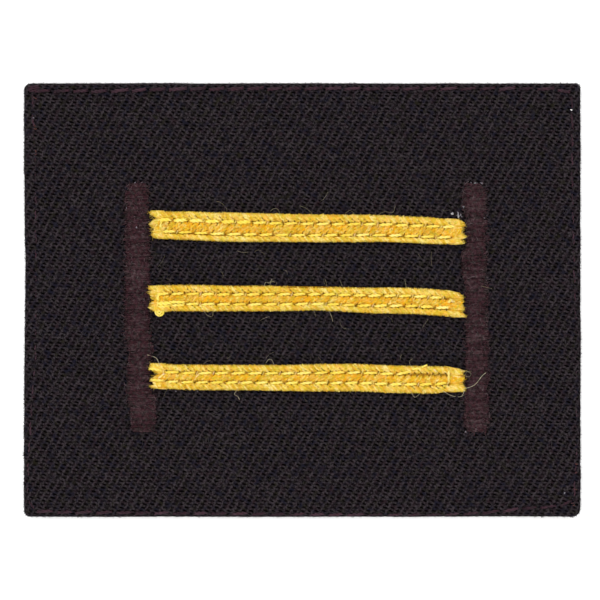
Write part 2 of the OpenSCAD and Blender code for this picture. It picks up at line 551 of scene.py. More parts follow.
@dataclass(frozen=True)
class ThreadFinish:
    """Spun or filament thread: streaks along its fibres, and each thread a little lighter or darker."""

    name: str
    deep: str
    main: str
    pale: str
    warm: str
    rosy: str
    olive: str
    roughness: float
    gloss: float
    tint: float = 0.8
    mottle: float = 0.7
    # Streaks round half the thread and to the millimetre along it, before the noise's own scale
    lanes: float = 3.5
    lengths: float = 0.7
    streaks: float = 1.6
    # How far one thread's streaks lie from those of a thread one tone lighter, and how much lighter it is
    spread: float = 37.0
    shade: float = 0.28
    # Half the range of light from the main colour to the deep or the pale one
    contrast: float = 0.26
    # Hills of each pattern to the millimetre: specks, warm patches and dye
    specks: float = 2.6
    patches: float = 3.0
    dye: float = 2.3
    # Relief of the fibres: its depth and strength
    relief: float = 0.03
    relief_strength: float = 0.7

    def material(self) -> bpy.types.Material:
        """Build the thread's material from the marks that each thread carries.

        Returns:
            The material.
        """
        material, tree = new_material(self.name)
        place = add_node(tree, "TexCoord").outputs["Object"]
        tone, warmth, along, around = (
            add_node(tree, "Attribute", attribute_name=label).outputs["Fac"]
            for label in ("tone", "warmth", "along", "around")
        )
        lane, run, spread = (
            add_node(tree, "Math", {0: mark, 1: factor}, operation="MULTIPLY")
            for mark, factor in ((around, self.lanes), (along, self.lengths), (tone, self.spread))
        )
        fibre_place = add_node(tree, "CombineXYZ", {0: lane, 1: run, 2: spread})
        fibres = add_node(tree, "TexNoise", {"Vector": fibre_place, "Scale": self.streaks, "Detail": 2.0})
        specks = add_node(tree, "TexNoise", {"Vector": place, "Scale": self.specks / MM, "Detail": 2.0})
        light = add_node(tree, "Math", {0: tone, 1: self.shade, 2: fibres}, operation="MULTIPLY_ADD")
        light = add_node(tree, "Math", {0: specks, 1: self.mottle, 2: light}, operation="MULTIPLY_ADD")
        half = 0.5 + self.mottle / 2
        colour = tint(tree, linear(self.deep), self.main, light, half - self.contrast, half)
        colour = tint(tree, colour, self.pale, light, half, half + self.contrast)
        # The warm colour comes in patches, so that no yarn is all of one shade.
        patches = {"Vector": place, "Scale": self.patches / MM, "Detail": 1.0, "W": 5.0}
        patches = add_node(tree, "TexNoise", patches, noise_dimensions="4D")
        reach = {"Value": patches, "From Min": 0.38, "From Max": 0.62, "To Min": 0.2, "To Max": 1.8}
        patches = add_node(tree, "MapRange", reach)
        warmth = add_node(tree, "Math", {0: warmth, 1: patches}, operation="MULTIPLY", use_clamp=True)
        colour = add_node(tree, "Mix", {0: warmth, 6: colour, 7: linear(self.warm)}, data_type="RGBA")
        # The dye takes unevenly.
        dye = {"Vector": place, "Scale": self.dye / MM, "Detail": 1.0, "W": 2.0}
        dye = add_node(tree, "TexNoise", dye, noise_dimensions="4D")
        colour = tint(tree, colour, self.rosy, dye, 0.51, 0.68, self.tint)
        colour = tint(tree, colour, self.olive, dye, 0.49, 0.32, self.tint)
        relief = {"Height": fibres, "Distance": self.relief * MM, "Strength": self.relief_strength}
        end_material(tree, colour, self.roughness, self.gloss, add_node(tree, "Bump", relief))
        return material


# Spun viscose braid yarn, dyed gold: soft and dull, lemon to apricot from yarn to yarn.
BRAID_YARN = ThreadFinish(
    "gold_viscose_yarn", "#d29a0c", "#eaca46", "#f8e490", "#f2b00c", "#eeb652", "#d0ba30",
    roughness=0.75, gloss=0.12, tint=0.6,
)
# Core of the braid, seen only through the gaps of the plait: drawn dark brown, a painted shade for the little
# light that gets in there.
BRAID_CORE = ThreadFinish(
    "gold_viscose_core_painted_shade", "#7a5008", "#986808", "#b07c10", "#946006", "#946410", "#806c0a",
    roughness=0.9, gloss=0.05,
)
# Fine fibres that stand off the braid's yarns: a pale bloom on its face, dull where they pass its edges.
BRAID_NAP = ThreadFinish(
    "gold_viscose_nap", "#8a6c1c", "#c6a236", "#f4dc68", "#ecac12", "#d4ae58", "#a8a03c",
    roughness=0.85, gloss=0.05, tint=0.4,
)
# Trilobal polyester sewing thread, lemon yellow: smoother and brighter than the braid under it.
# Its warm colour, a pale pink, is a painted glint: on the lower thread at the holes and on the pale stray
# stitches.
SEWING_THREAD = ThreadFinish(
    "lemon_polyester_thread", "#ecc832", "#fce352", "#fff090", "#f6d8a8", "#f8d870", "#e8dc50",
    roughness=0.45, gloss=0.35, tint=0.4,
)
# Rayon embroidery thread, dark plum: close threads that have lost most of their gloss to wear.
SATIN_THREAD = ThreadFinish(
    "plum_rayon_thread", "#130a0d", "#322327", "#554648", "#40242a", "#40272e", "#2d2726",
    roughness=0.75, gloss=0.04, mottle=2.0,
)
# Single fibres worn out of the satin stitches, dusty.
SATIN_NAP = ThreadFinish(
    "plum_rayon_nap", "#2a1c20", "#4e3e42", "#8c7c80", "#5c3438", "#5a3c44", "#4a4644",
    roughness=0.8, gloss=0.05,
)
# Mercerised cotton seam thread, dark maroon, with a few ends worn to a rusty colour.
SEAM_THREAD = ThreadFinish(
    "maroon_cotton_thread", "#241820", "#3a2830", "#4a343e", "#6a4238", "#42282f", "#302b2b",
    roughness=0.75, gloss=0.05, tint=0.6,
)
# Single fibres shed by the gold yarn, dusty and dull.
GOLD_FIBRE = ThreadFinish(
    "loose_gold_fibre", "#6c6448", "#a09678", "#d0c8ac", "#6a5a38", "#a89478", "#84846a",
    roughness=0.6, gloss=0.2,
)
# Single fibres worn off the cloth, nearly black.
BLACK_FIBRE = ThreadFinish(
    "loose_cotton_fibre", "#1c191b", "#332f33", "#545052", "#3a2c32", "#40303a", "#323630",
    roughness=0.8, gloss=0.05,
)
# White cotton lint that has settled on the patch, some of it grey with dust.
WHITE_LINT = ThreadFinish(
    "white_cotton_lint", "#76727a", "#a8a4ac", "#f4f4f0", "#c8c0c0", "#b0a0b0", "#a0a8a8",
    roughness=0.85, gloss=0.1, tint=0.5,
)


@dataclass
class Studio:
    """Camera straight above the patch, soft light all round, and a plain pale floor."""

    pixels: int = 600
    pixels_per_mm: float = 7.72
    middle_pixel: float = 302.0
    lens: float = 200.0
    sensor: float = 36.0
    # Light from all round
    surround: float = 1.1
    # Lamp at the upper left: side, watts, place in metres and turn in degrees
    lamp_side: float = 0.5
    lamp_power: float = 1.2
    lamp_place: tuple[float, float, float] = (-0.28, 0.34, 0.75)
    lamp_turn: tuple[float, float, float] = (-24, -20, 0)
    # Side of the floor board in metres, hills of its grain to the millimetre, and its glow
    board: float = 3.0
    grain: float = 0.9
    glow: float = 0.32

    def camera(self, height: float) -> None:
        """Set the camera at the photo's angle and distance.

        Args:
            height: Height of the patch's face, which is seen at the photo's scale.
        """
        frame_width = self.pixels / self.pixels_per_mm
        distance = frame_width * self.lens / self.sensor
        data = bpy.data.cameras.new("camera")
        data.lens = self.lens
        data.sensor_width = self.sensor
        data.clip_start = 0.01
        camera = bpy.data.objects.new("camera", data)
        aside = (self.pixels / 2 - self.middle_pixel) / self.pixels_per_mm
        camera.location = (aside * MM, 0, (height + distance) * MM)
        bpy.context.collection.objects.link(camera)
        bpy.context.scene.camera = camera

    def light(self) -> None:
        """Light the patch as a scanner's lid does: from all over, and a little more from the upper left."""
        world = bpy.data.worlds.new("studio")
        world.use_nodes = True
        background = world.node_tree.nodes["Background"]
        background.inputs["Color"].default_value = linear("#ffffff")
        background.inputs["Strength"].default_value = self.surround
        bpy.context.scene.world = world
        data = bpy.data.lights.new("softbox", "AREA")
        data.shape = "SQUARE"
        data.size = self.lamp_side
        data.energy = self.lamp_power
        softbox = bpy.data.objects.new("softbox", data)
        softbox.location = self.lamp_place
        softbox.rotation_euler = [math.radians(angle) for angle in self.lamp_turn]
        bpy.context.collection.objects.link(softbox)
        view = bpy.context.scene.view_settings
        view.view_transform = "Standard"
        view.look = "None"

    def floor(self) -> None:
        """Lay a pale matt board under everything, which glows a little so that it shows no hard shadow."""
        bpy.ops.mesh.primitive_plane_add(size=self.board, location=(0, 0, 0))
        board = bpy.context.object
        board.name = "floor_board"
        material, tree = new_material("pale_matt_card")
        place = add_node(tree, "TexCoord").outputs["Object"]
        grain = add_node(tree, "TexNoise", {"Vector": place, "Scale": self.grain / MM, "Detail": 3.0})
        shades = {0: grain, 6: linear("#f4f4f4"), 7: linear("#f8f8f8")}
        colour = add_node(tree, "Mix", shades, data_type="RGBA")
        shader = end_material(tree, colour, roughness=0.9, gloss=0.1)
        shader.inputs["Emission Strength"].default_value = self.glow
        board.data.materials.append(material)


@dataclass
class Seam:
    """The line of edge stitches: a closed route over the cloth, and its needle holes in plan."""

    pitch: float = 2.5
    # How far a needle hole strays along the route, as a share of the pitch, and the seed that picks it
    stray: float = 0.06
    seed: int = 11
    # Turning points of the seam, clockwise from the upper left. columns: X, Y, how proud its thread lies
    turns: Rows = (
        (-34.9, 27.05, 0.14), (-25, 27.05, 0.16), (-18, 27.3, 0.16), (0, 27.4, 0.14), (34.9, 27.35, 0.06),
        (35.0, 26, -0.17), (35.0, 15.5, -0.17), (35.3, 2, -0.18), (35.5, -5, -0.18), (35.5, -21, -0.17),
        (35.2, -26.2, -0.12), (34.2, -26.65, -0.04), (28.9, -27.0, 0.02), (23.1, -27.6, 0.03), (18, -27.8, 0),
        (0, -27.75, 0.02), (-33.9, -27.45, 0.04), (-35.4, -27.2, -0.12), (-35.6, -25, -0.18),
        (-35.4, -20.5, -0.16), (-35.0, -13, -0.2), (-34.5, -7, -0.22), (-34.5, 18, -0.22), (-34.85, 22, -0.2),
        (-34.9, 26, -0.18),
    )
    # Short stitches that hold down the folded upper left corner. columns: X and Y of both ends
    corner_stitches: Rows = (
        (-35.45, 27.55, -34.0, 27.75), (-35.5, 27.3, -33.95, 27.5), (-35.3, 27.0, -34.0, 27.25),
        (-35.4, 27.1, -34.6, 27.8),
    )
    # Frayed ends of the thread. columns: X, Y, heading in radians, length
    frays: Rows = (
        (35.4, -21.2, -1.0, 0.4), (35.35, -22.4, -0.5, 0.3), (35.1, -24.4, -1.2, 0.55),
        (34.85, -26.3, -0.8, 0.4), (35.05, -26.6, -0.6, 0.3), (-34.75, 26.3, -1.4, 0.45),
        (-34.6, 22.4, 0.8, 0.35), (-34.7, 22.2, -1.0, 0.35), (-34.45, 19.1, 1.0, 0.35),
        (-34.6, 18.8, -0.4, 0.3),
    )
    holes: Array = field(init=False)
    proud: Array = field(init=False)

    def __post_init__(self) -> None:
        """Space the needle holes evenly along the route."""
        route = np.array([*self.turns, self.turns[0]], float)
        length = np.concatenate([[0], np.cumsum(np.linalg.norm(np.diff(route[:, :2], axis=0), axis=1))])
        count = round(length[-1] / self.pitch)
        rng = np.random.default_rng(self.seed)
        places = (np.arange(count) + rng.uniform(-self.stray, self.stray, count)) * length[-1] / count
        self.holes = np.stack([np.interp(places, length, route[:, k]) for k in (0, 1)], 1)
        self.proud = np.interp(places + self.pitch / 2, length, route[:, 2])

    def extras(self, height: Callable[[float, float], float]) -> list[Thread]:
        """Sew the corner stitches and let out the frayed ends.

        Args:
            height: Gives the cloth's height over a place in plan.

        Returns:
            The stitches' plies and the frayed ends.
        """
        laid: list[Thread] = []
        for xa, ya, xb, yb in self.corner_stitches:
            start, end = ((x, y, height(x, y) + 0.04) for x, y in ((xa, ya), (xb, yb)))
            laid += Stitch(start, end, thick=0.3, sink=0.15).threads()
        for x, y, heading, length in self.frays:
            start = (x, y, height(x, y) + 0.06)
            laid.append(loose_fibre(start, heading, length, 1.2, 0.06, 0.045, 1.5, warmth=0.8))
        return laid

    def distance(self, x: Array, y: Array) -> Array:
        """Distance of many places from the seam's line.

        Args:
            x: Places along X.
            y: Places along Y.

        Returns:
            The distance of each.
        """
        nearest = np.full(x.shape, np.inf)
        for a, b in zip(self.holes, np.roll(self.holes, -1, axis=0)):
            run = b - a
            share = ((x - a[0]) * run[0] + (y - a[1]) * run[1]) / (run @ run)
            share = np.clip(share, 0, 1)
            nearest = np.minimum(nearest, np.hypot(x - a[0] - share * run[0], y - a[1] - share * run[1]))
        return nearest


@dataclass
class GroundCloth:
    """The twill ground, folded under all round to a hem, with a pit in its mesh at every tie of the weave."""

    width: float
    height: float
    thickness: float
    seam: Seam
    # How far the napped cloth passes the plain solid, in X and Y, both sides together
    nap: tuple[float, float] = (0.21, 0.26)
    # How far the cloth lies to the right of the plain solid
    shift: float = 0.045
    # Where the left edge is drawn in beside the upper braids. columns: depth, Y, reach
    dents: Rows = ((0.09, 5.2, 2.5), (0.09, 2.5, 7))
    hem: float = 7.0
    hem_step: float = 0.3
    fold_rings: int = 3
    # Cells across and up the middle of the back
    back_cells: tuple[int, int] = (77, 67)
    # Rings of the back out from the cut edge to the fold. columns: how far out over the hem, height
    back_rings: Rows = ((0, 0.18), (0.02, 0.03), (0.35, 0), (0.7, 0), (0.96, 0))
    # Depth and reach of the grooves at the hem's mitred corners
    mitre: tuple[float, float] = (0.12, 0.5)
    # Height, step and seed of the hem's waves
    hem_waves: tuple[float, float, int] = (0.05, 4.0, 8)
    # Rounding of the patch's corners in plan. keys: X side, Y side
    corners: dict[tuple[int, int], float] = field(
        default_factory=lambda: {(-1, 1): 0.9, (1, 1): 0.6, (-1, -1): 0.85, (1, -1): 1.2}
    )
    # Height of the cloth by how many ends a place lies from its row's tie. columns: ends, height
    weave: Rows = ((0, -0.11), (0.5, -0.05), (1, -0.02), (1.5, 0.01), (2, 0.02))
    # Slight bumps of the face, and how its edges wander. columns: height, step, seed
    bumps: Sequence[tuple[float, float, int]] = ((0.015, 0.5, 4), (0.02, 9.0, 5))
    wander_x: Sequence[tuple[float, float, int]] = ((0.05, 6.0, 1), (0.03, 1.4, 6))
    wander_y: Sequence[tuple[float, float, int]] = ((0.04, 6.0, 2), (0.02, 1.4, 7))
    # Depth and reach of the dent along the seam, at each needle hole, and beside each braid and bar
    seam_dent: tuple[float, float] = (0.09, 0.3)
    hole_dent: tuple[float, float] = (0.2, 0.25)
    trim_dent: tuple[float, float] = (0.06, 0.4)

    @property
    def roll(self) -> float:
        """Radius of the folded edge."""
        return self.thickness / 2

    def face_height(self, x: float, y: float) -> float:
        """Height of the cloth's face over a place in plan."""
        past = max(abs(x) - self.width / 2, abs(y) - self.height / 2, -self.roll) + self.roll
        return self.roll + math.sqrt(max(self.roll ** 2 - min(past, self.roll) ** 2, 0))

    def back_height(self, x: float, y: float) -> float:
        """Height of the cloth's underside over a place in plan."""
        inside = abs(x) < self.width / 2 - self.hem and abs(y) < self.height / 2 - self.hem
        return self.hem_step if inside else self.thickness - self.face_height(x, y)

    def folded(self, u: Array, v: Array, turn: Array, relief: Array) -> Array:
        """Lay places of the flat cloth over the folded edge.

        Args:
            u: Places across the flat cloth.
            v: Places up the flat cloth.
            turn: How far each place has gone from its own angle to the underside, 0 to 1.
            relief: How far each place stands proud of the cloth's surface.

        Returns:
            Points in space.
        """
        sign_u, sign_v = np.where(u < 0, -1, 1), np.where(v < 0, -1, 1)
        radius = np.zeros_like(u)
        for (su, sv), r in self.corners.items():
            radius[(sign_u == su) & (sign_v == sv)] = r
        du = np.abs(u) - (self.width / 2 - radius)
        dv = np.abs(v) - (self.height / 2 - radius)
        corner = (du > 0) & (dv > 0)
        far = np.hypot(du, dv)
        out_u = np.where(corner, du / np.maximum(far, 1e-9), du >= dv) * sign_u
        out_v = np.where(corner, dv / np.maximum(far, 1e-9), dv > du) * sign_v
        reach = np.where(corner, far, np.maximum(du, dv)) - (radius - self.roll)
        reach = np.maximum(reach, 0)
        angle = reach / self.roll
        angle = angle + (math.pi - angle) * turn
        out = np.sin(angle) * (self.roll + relief) - reach
        out = np.where(reach > 0, out, 0)
        return np.stack([
            u + out_u * out, v + out_v * out, self.roll + np.cos(angle) * (self.roll + relief)
        ], 1)

    def relief(self, u: Array, v: Array) -> Array:
        """Height of the weave, the dents and the cloth's slight bumps over its smooth surface.

        Args:
            u: Places across the flat cloth.
            v: Places up the flat cloth.

        Returns:
            How far each place stands proud.
        """
        ends, picks = u / END, v / PICK
        half = REPEAT / 2
        off = np.abs((ends - np.floor(picks + 0.5) + half) % REPEAT - half)
        between = np.abs(picks - np.round(picks)) > 0.25
        off = np.where(between, np.abs((ends - picks + half) % REPEAT - half), off)
        columns = np.array(self.weave)
        depth = np.interp(off, columns[:, 0], columns[:, 1]) * np.where(between, 0.35, 1)
        depth = np.where(depth < 0, depth * (0.75 + 0.45 * hills(u, v, 0.7, 3)), depth)
        depth += waves(u, v, self.bumps)
        past_u, x = self.past_fold(u, self.width)
        past_v, y = self.past_fold(v, self.height)
        deep, reach = self.seam_dent
        depth -= deep * np.exp(-(self.seam.distance(x, y) / reach) ** 2)
        deep, reach = self.hole_dent
        for hole in self.seam.holes:
            depth -= deep * np.exp(-((x - hole[0]) ** 2 + (y - hole[1]) ** 2) / reach ** 2)
        deep, reach = self.trim_dent
        for node in (*BRAIDS, *BARS):
            low, high = box_of(node)
            beside = np.maximum(
                np.maximum(low.x - u, u - high.x), np.maximum(low.y - v, v - high.y)
            )
            depth -= deep * np.exp(-(np.maximum(beside, 0) / reach) ** 2)
        # Pressing has flattened the weave at the folded edge.
        return depth * (1 - 0.8 * np.clip(np.maximum(past_u, past_v) / self.roll, 0, 1))

    def past_fold(self, flat: Array, size: float) -> tuple[Array, Array]:
        """How far flat places lie past the start of the fold, and their places in plan."""
        past = np.maximum(np.abs(flat) - size / 2 + self.roll, 0)
        return past, flat + np.sign(flat) * (np.sin(np.minimum(past / self.roll, 1.5)) * self.roll - past)

    def front(self) -> Piece:
        """Weave the face as a grid with a column of points at every end, and fold its border under.

        Returns:
            The face and the folded edge, open at the back.
        """
        half_u = self.width / 2 - self.roll + self.roll * math.pi / 2
        half_v = self.height / 2 - self.roll + self.roll * math.pi / 2
        columns, rows = 2 * round(half_u / END), 4 * round(half_v / PICK)
        bpy.ops.object.select_all(action="DESELECT")
        bpy.ops.mesh.primitive_grid_add(x_subdivisions=columns, y_subdivisions=rows, size=2)
        cloth = bpy.context.object
        mesh = cloth.data
        flat = read_points(mesh)
        write_mark(mesh, "flat_u", flat[:, 0] * half_u)
        write_mark(mesh, "flat_v", flat[:, 1] * half_v)
        write_mark(mesh, "turn", np.zeros(len(flat)))
        edit_open_edges()
        for ring in range(1, self.fold_rings + 1):
            bpy.ops.mesh.extrude_region_move()
            bpy.ops.object.mode_set(mode="OBJECT")
            turn = read_mark(mesh, "turn")
            turn[[point.select for point in mesh.vertices]] = ring / self.fold_rings
            write_mark(mesh, "turn", turn)
            bpy.ops.object.mode_set(mode="EDIT")
        bpy.ops.object.mode_set(mode="OBJECT")
        u, v, turn = (read_mark(mesh, label) for label in ("flat_u", "flat_v", "turn"))
        points = self.folded(u, v, turn, self.relief(u, v) * (1 - turn))
        points[:, :2] *= 1 + np.array(self.nap) / (self.width, self.height)
        drawn_in = sum(depth * np.exp(-((v - y) / reach) ** 2) for depth, y, reach in self.dents)
        points[:, 0] += self.shift + drawn_in * np.clip(-2 * u / self.width, 0, 1) ** 8
        points[:, 0] += waves(u, v, self.wander_x) * (1 - turn)
        points[:, 1] += waves(u, v, self.wander_y) * (1 - turn)
        write_points(mesh, points * MM)
        return cloth

    def back(self) -> Piece:
        """Make the middle of the back and the turned hem round it, whose inner edge is cut cloth.

        Returns:
            The back, open at the folded edge.
        """
        half_x, half_y = self.width / 2 - self.hem, self.height / 2 - self.hem
        across, up = self.back_cells
        bpy.ops.object.select_all(action="DESELECT")
        bpy.ops.mesh.primitive_grid_add(x_subdivisions=across, y_subdivisions=up, size=2)
        panel = bpy.context.object
        mesh = panel.data
        for point in mesh.vertices:
            x, y = point.co.x * half_x, point.co.y * half_y
            point.co = (x * MM, y * MM, self.hem_step * MM)
        edit_open_edges()
        groove, reach = self.mitre
        height, step, seed = self.hem_waves
        for out, lift in self.back_rings:
            bpy.ops.mesh.extrude_region_move()
            bpy.ops.object.mode_set(mode="OBJECT")
            for point in mesh.vertices:
                if not point.select:
                    continue
                share_x, share_y = point.co.x / MM / half_x, point.co.y / MM / half_y
                scale = max(abs(share_x), abs(share_y))
                share_x, share_y = share_x / scale, share_y / scale
                x = share_x * (half_x + out * (self.hem - self.roll))
                y = share_y * (half_y + out * (self.hem - self.roll))
                z = lift
                if out > 0:
                    z += height * (1 + float(hills(x, y, step, seed))) * (1 - out)
                    z += groove * math.exp(-((1 - min(abs(share_x), abs(share_y))) * half_y / reach) ** 2)
                point.co = (x * MM, y * MM, z * MM)
            bpy.ops.object.mode_set(mode="EDIT")
        bpy.ops.object.mode_set(mode="OBJECT")
        # A turn of 2 marks the back, which has no place on the flat face.
        for label, value in (("flat_u", 0), ("flat_v", 0), ("turn", 2)):
            write_mark(mesh, label, np.full(len(mesh.vertices), value))
        return panel

    def thread_map(self, mesh: bpy.types.Mesh) -> None:
        """Lay the threads' own coordinates over the cloth, which runs on round the fold and over the hem.

        Args:
            mesh: The whole cloth.
        """
        u, v, turn = (read_mark(mesh, label) for label in ("flat_u", "flat_v", "turn"))
        points = read_points(mesh) / MM
        flat_x, flat_y = self.width / 2 - self.roll, self.height / 2 - self.roll
        layer = mesh.uv_layers.new(name="threads")
        inside_x, inside_y = flat_x - np.abs(points[:, 0]), flat_y - np.abs(points[:, 1])
        over_hem = math.pi * self.roll + np.minimum(inside_x, inside_y)
        reach = np.maximum(np.maximum(np.abs(u) - flat_x, np.abs(v) - flat_y), 0)
        round_fold = reach + (math.pi * self.roll - reach) * turn
        past = np.where(turn > 1.5, over_hem, round_fold)
        inner_x, inner_y = self.width / 2 - self.hem, self.height / 2 - self.hem
        coordinates = np.zeros((len(mesh.loops), 2))
        for face in mesh.polygons:
            corners = list(face.vertices)
            loops = list(face.loop_indices)
            middle = points[corners].mean(axis=0)
            if turn[corners].max() == 0:
                coordinates[loops] = np.stack([u[corners], v[corners]], 1)
            elif turn[corners].min() > 1.5 and abs(middle[0]) < inner_x and abs(middle[1]) < inner_y:
                coordinates[loops] = points[corners, :2]
            elif abs(middle[0]) - flat_x > abs(middle[1]) - flat_y:
                side = math.copysign(1, middle[0])
                coordinates[loops] = np.stack([side * (flat_x + past[corners]), points[corners, 1]], 1)
            else:
                side = math.copysign(1, middle[1])
                coordinates[loops] = np.stack([points[corners, 0], side * (flat_y + past[corners])], 1)
        coordinates /= (END, PICK)
        layer.data.foreach_set("uv", coordinates.astype(np.float32).ravel())

    def build(self) -> Piece:
        """Join the face and the back to one closed cloth.

        Returns:
            The finished cloth.
        """
        cloth, panel = self.front(), self.back()
        select_only(cloth, panel)
        bpy.ops.object.join()
        cloth.name = "twill_ground"
        edit_open_edges()
        bpy.ops.mesh.bridge_edge_loops()
        bpy.ops.mesh.select_all(action="SELECT")
        bpy.ops.mesh.normals_make_consistent(inside=False)
        bpy.ops.object.mode_set(mode="OBJECT")
        for old in list(cloth.data.uv_layers):
            cloth.data.uv_layers.remove(old)
        self.thread_map(cloth.data)
        bpy.ops.object.shade_smooth_by_angle(angle=math.radians(75))
        return cloth

    def dress(self, material: bpy.types.Material) -> Piece:
        """Args:
            material: The twill.

        Returns:
            The finished cloth.
        """
        cloth = self.build()
        hand_over(cloth, material, ["ground_cloth"])
        return cloth


@dataclass
class Stitch:
    """One plied stitch, from the hole where it comes up to the one where it goes down."""

    start: Sequence[float]
    end: Sequence[float]
    thick: float
    # How far its ends dive, and how far they hook aside
    sink: float
    hook: float = 0.0
    tone: float = 0.0
    warmth: float = 0.0
    plies: int = 2
    # Turns of the plies from end to end
    twist: float = 1.6
    # Places along the stitch, closer together where it bends
    stations: Sequence[float] = (0, 0.05, 0.14, 0.28, 0.43, 0.57, 0.72, 0.86, 0.95, 1)
    # Girth of a ply along the stitch. columns: place, share of its full girth
    taper: Rows = ((0, 0.6), (0.25, 1.05), (0.75, 1.05), (1, 0.6))

    def threads(self) -> list[Thread]:
        """Lay the stitch's plies.

        Returns:
            One thread for each ply.
        """
        a, b = np.array(self.start, float), np.array(self.end, float)
        t = np.array(self.stations)
        way = (b - a)[:2] / np.linalg.norm((b - a)[:2])
        aside = np.array([-way[1], way[0], 0])
        line = a + (b - a) * t[:, None] + aside * (self.hook * (2 * t - 1) ** 5)[:, None]
        line[:, 2] -= self.sink * np.abs(2 * t - 1) ** 8
        ply = self.thick / 3.7
        off = self.thick / 2 - ply
        girth = ply * np.interp(t, *np.array(self.taper).T)
        laid = []
        for k in range(self.plies):
            phase = 2 * math.pi * (k / self.plies + self.twist * t)
            route = line + aside * (off * np.cos(phase))[:, None]
            route[:, 2] += off * np.sin(phase)
            laid.append(Thread(route, girth, self.tone, self.warmth))
        return laid


def loose_fibre(
    start: Sequence[float], heading: float, length: float, bend: float, arch: float, radius: float,
    tone: float, drop: float = 0.0, warmth: float = 0.0,
) -> Thread:
    """Curl one fine fibre away from a point and back down.

    Args:
        start: Where it leaves the surface.
        heading: Its first way in plan, in radians.
        length: Its length in plan.
        bend: How far its way turns from end to end, in radians.
        arch: How high its middle stands.
        radius: Its radius.
        tone: Light or dark.
        drop: How far its tip lies below its start.
        warmth: Share of its finish's warm colour.

    Returns:
        The fibre, with more points the longer it is.
    """
    count = 3 if length < 0.7 else 4 if length < 1.2 else 5
    t = np.linspace(0, 1, count)
    way = heading + bend * t
    run = np.cumsum(np.stack([np.cos(way), np.sin(way)], 1) * length / (count - 1), axis=0)
    route = np.empty((count, 3))
    route[:, :2] = np.array(start[:2]) + run - run[0]
    route[:, 2] = start[2] + arch * np.sin(math.pi * t) - drop * t
    return Thread(route, radius, tone, warmth)


@dataclass
class Lockstitching:
    """A line of machine stitches from needle hole to needle hole."""

    holes: Array
    thick: float
    # Space between a stitch's end and its needle hole
    gap: float
    underside: bool = False
    closed: bool = False
    # How far the thread stands off the surface, and how far each end lies to one side of the line
    proud: float | Array = 0.02
    tilt: float = 0.0
    # How far an end strays across the line
    stray: float = 0.04
    seed: int = 23

    def threads(self, height: Callable[[float, float], float]) -> list[Thread]:
        """Sew the line over a surface.

        Args:
            height: Gives the surface's height over a place in plan.

        Returns:
            The stitches' plies.
        """
        rng = np.random.default_rng(self.seed + self.underside)
        side = -1 if self.underside else 1
        following = np.roll(self.holes, -1, axis=0) if self.closed else self.holes[1:]
        laid: list[Thread] = []
        for a, b, proud in zip(self.holes, following, np.broadcast_to(self.proud, len(following))):
            way = (b - a) / np.linalg.norm(b - a)
            aside = np.array([-way[1], way[0]]) * self.tilt
            start, end = (
                (x, y + rng.uniform(-self.stray, self.stray), height(x, y) + proud * side)
                for x, y in (a + way * self.gap - aside, b - way * self.gap + aside)
            )
            thick = self.thick * (1 + proud) * rng.uniform(0.9, 1.1)
            stitch = Stitch(start, end, thick, 0.2 * side, hook=0.05, tone=rng.uniform(-0.7, 0.7))
            laid += stitch.threads()
        return laid


@dataclass(frozen=True)
class Rib:
    """One of a braid's three ribs, whose edges are shares of the braid's width from its middle."""

    low: float
    high: float
    height: float
    lean: Lean
    warmth: float
    # How much the warmth drifts along the rib, and the share of full spread that its yarns keep everywhere
    drift: float
    loose: float

    @property
    def middle(self) -> float:
        """Middle of the rib."""
        return (self.low + self.high) / 2

    @property
    def half(self) -> float:
        """Half the rib's width."""
        return (self.high - self.low) / 2

    @property
    def outer(self) -> int:
        """Which edge of the braid the rib makes: -1, 0 for neither, or 1."""
        return (self.high >= 0.5) - (self.low <= -0.5)


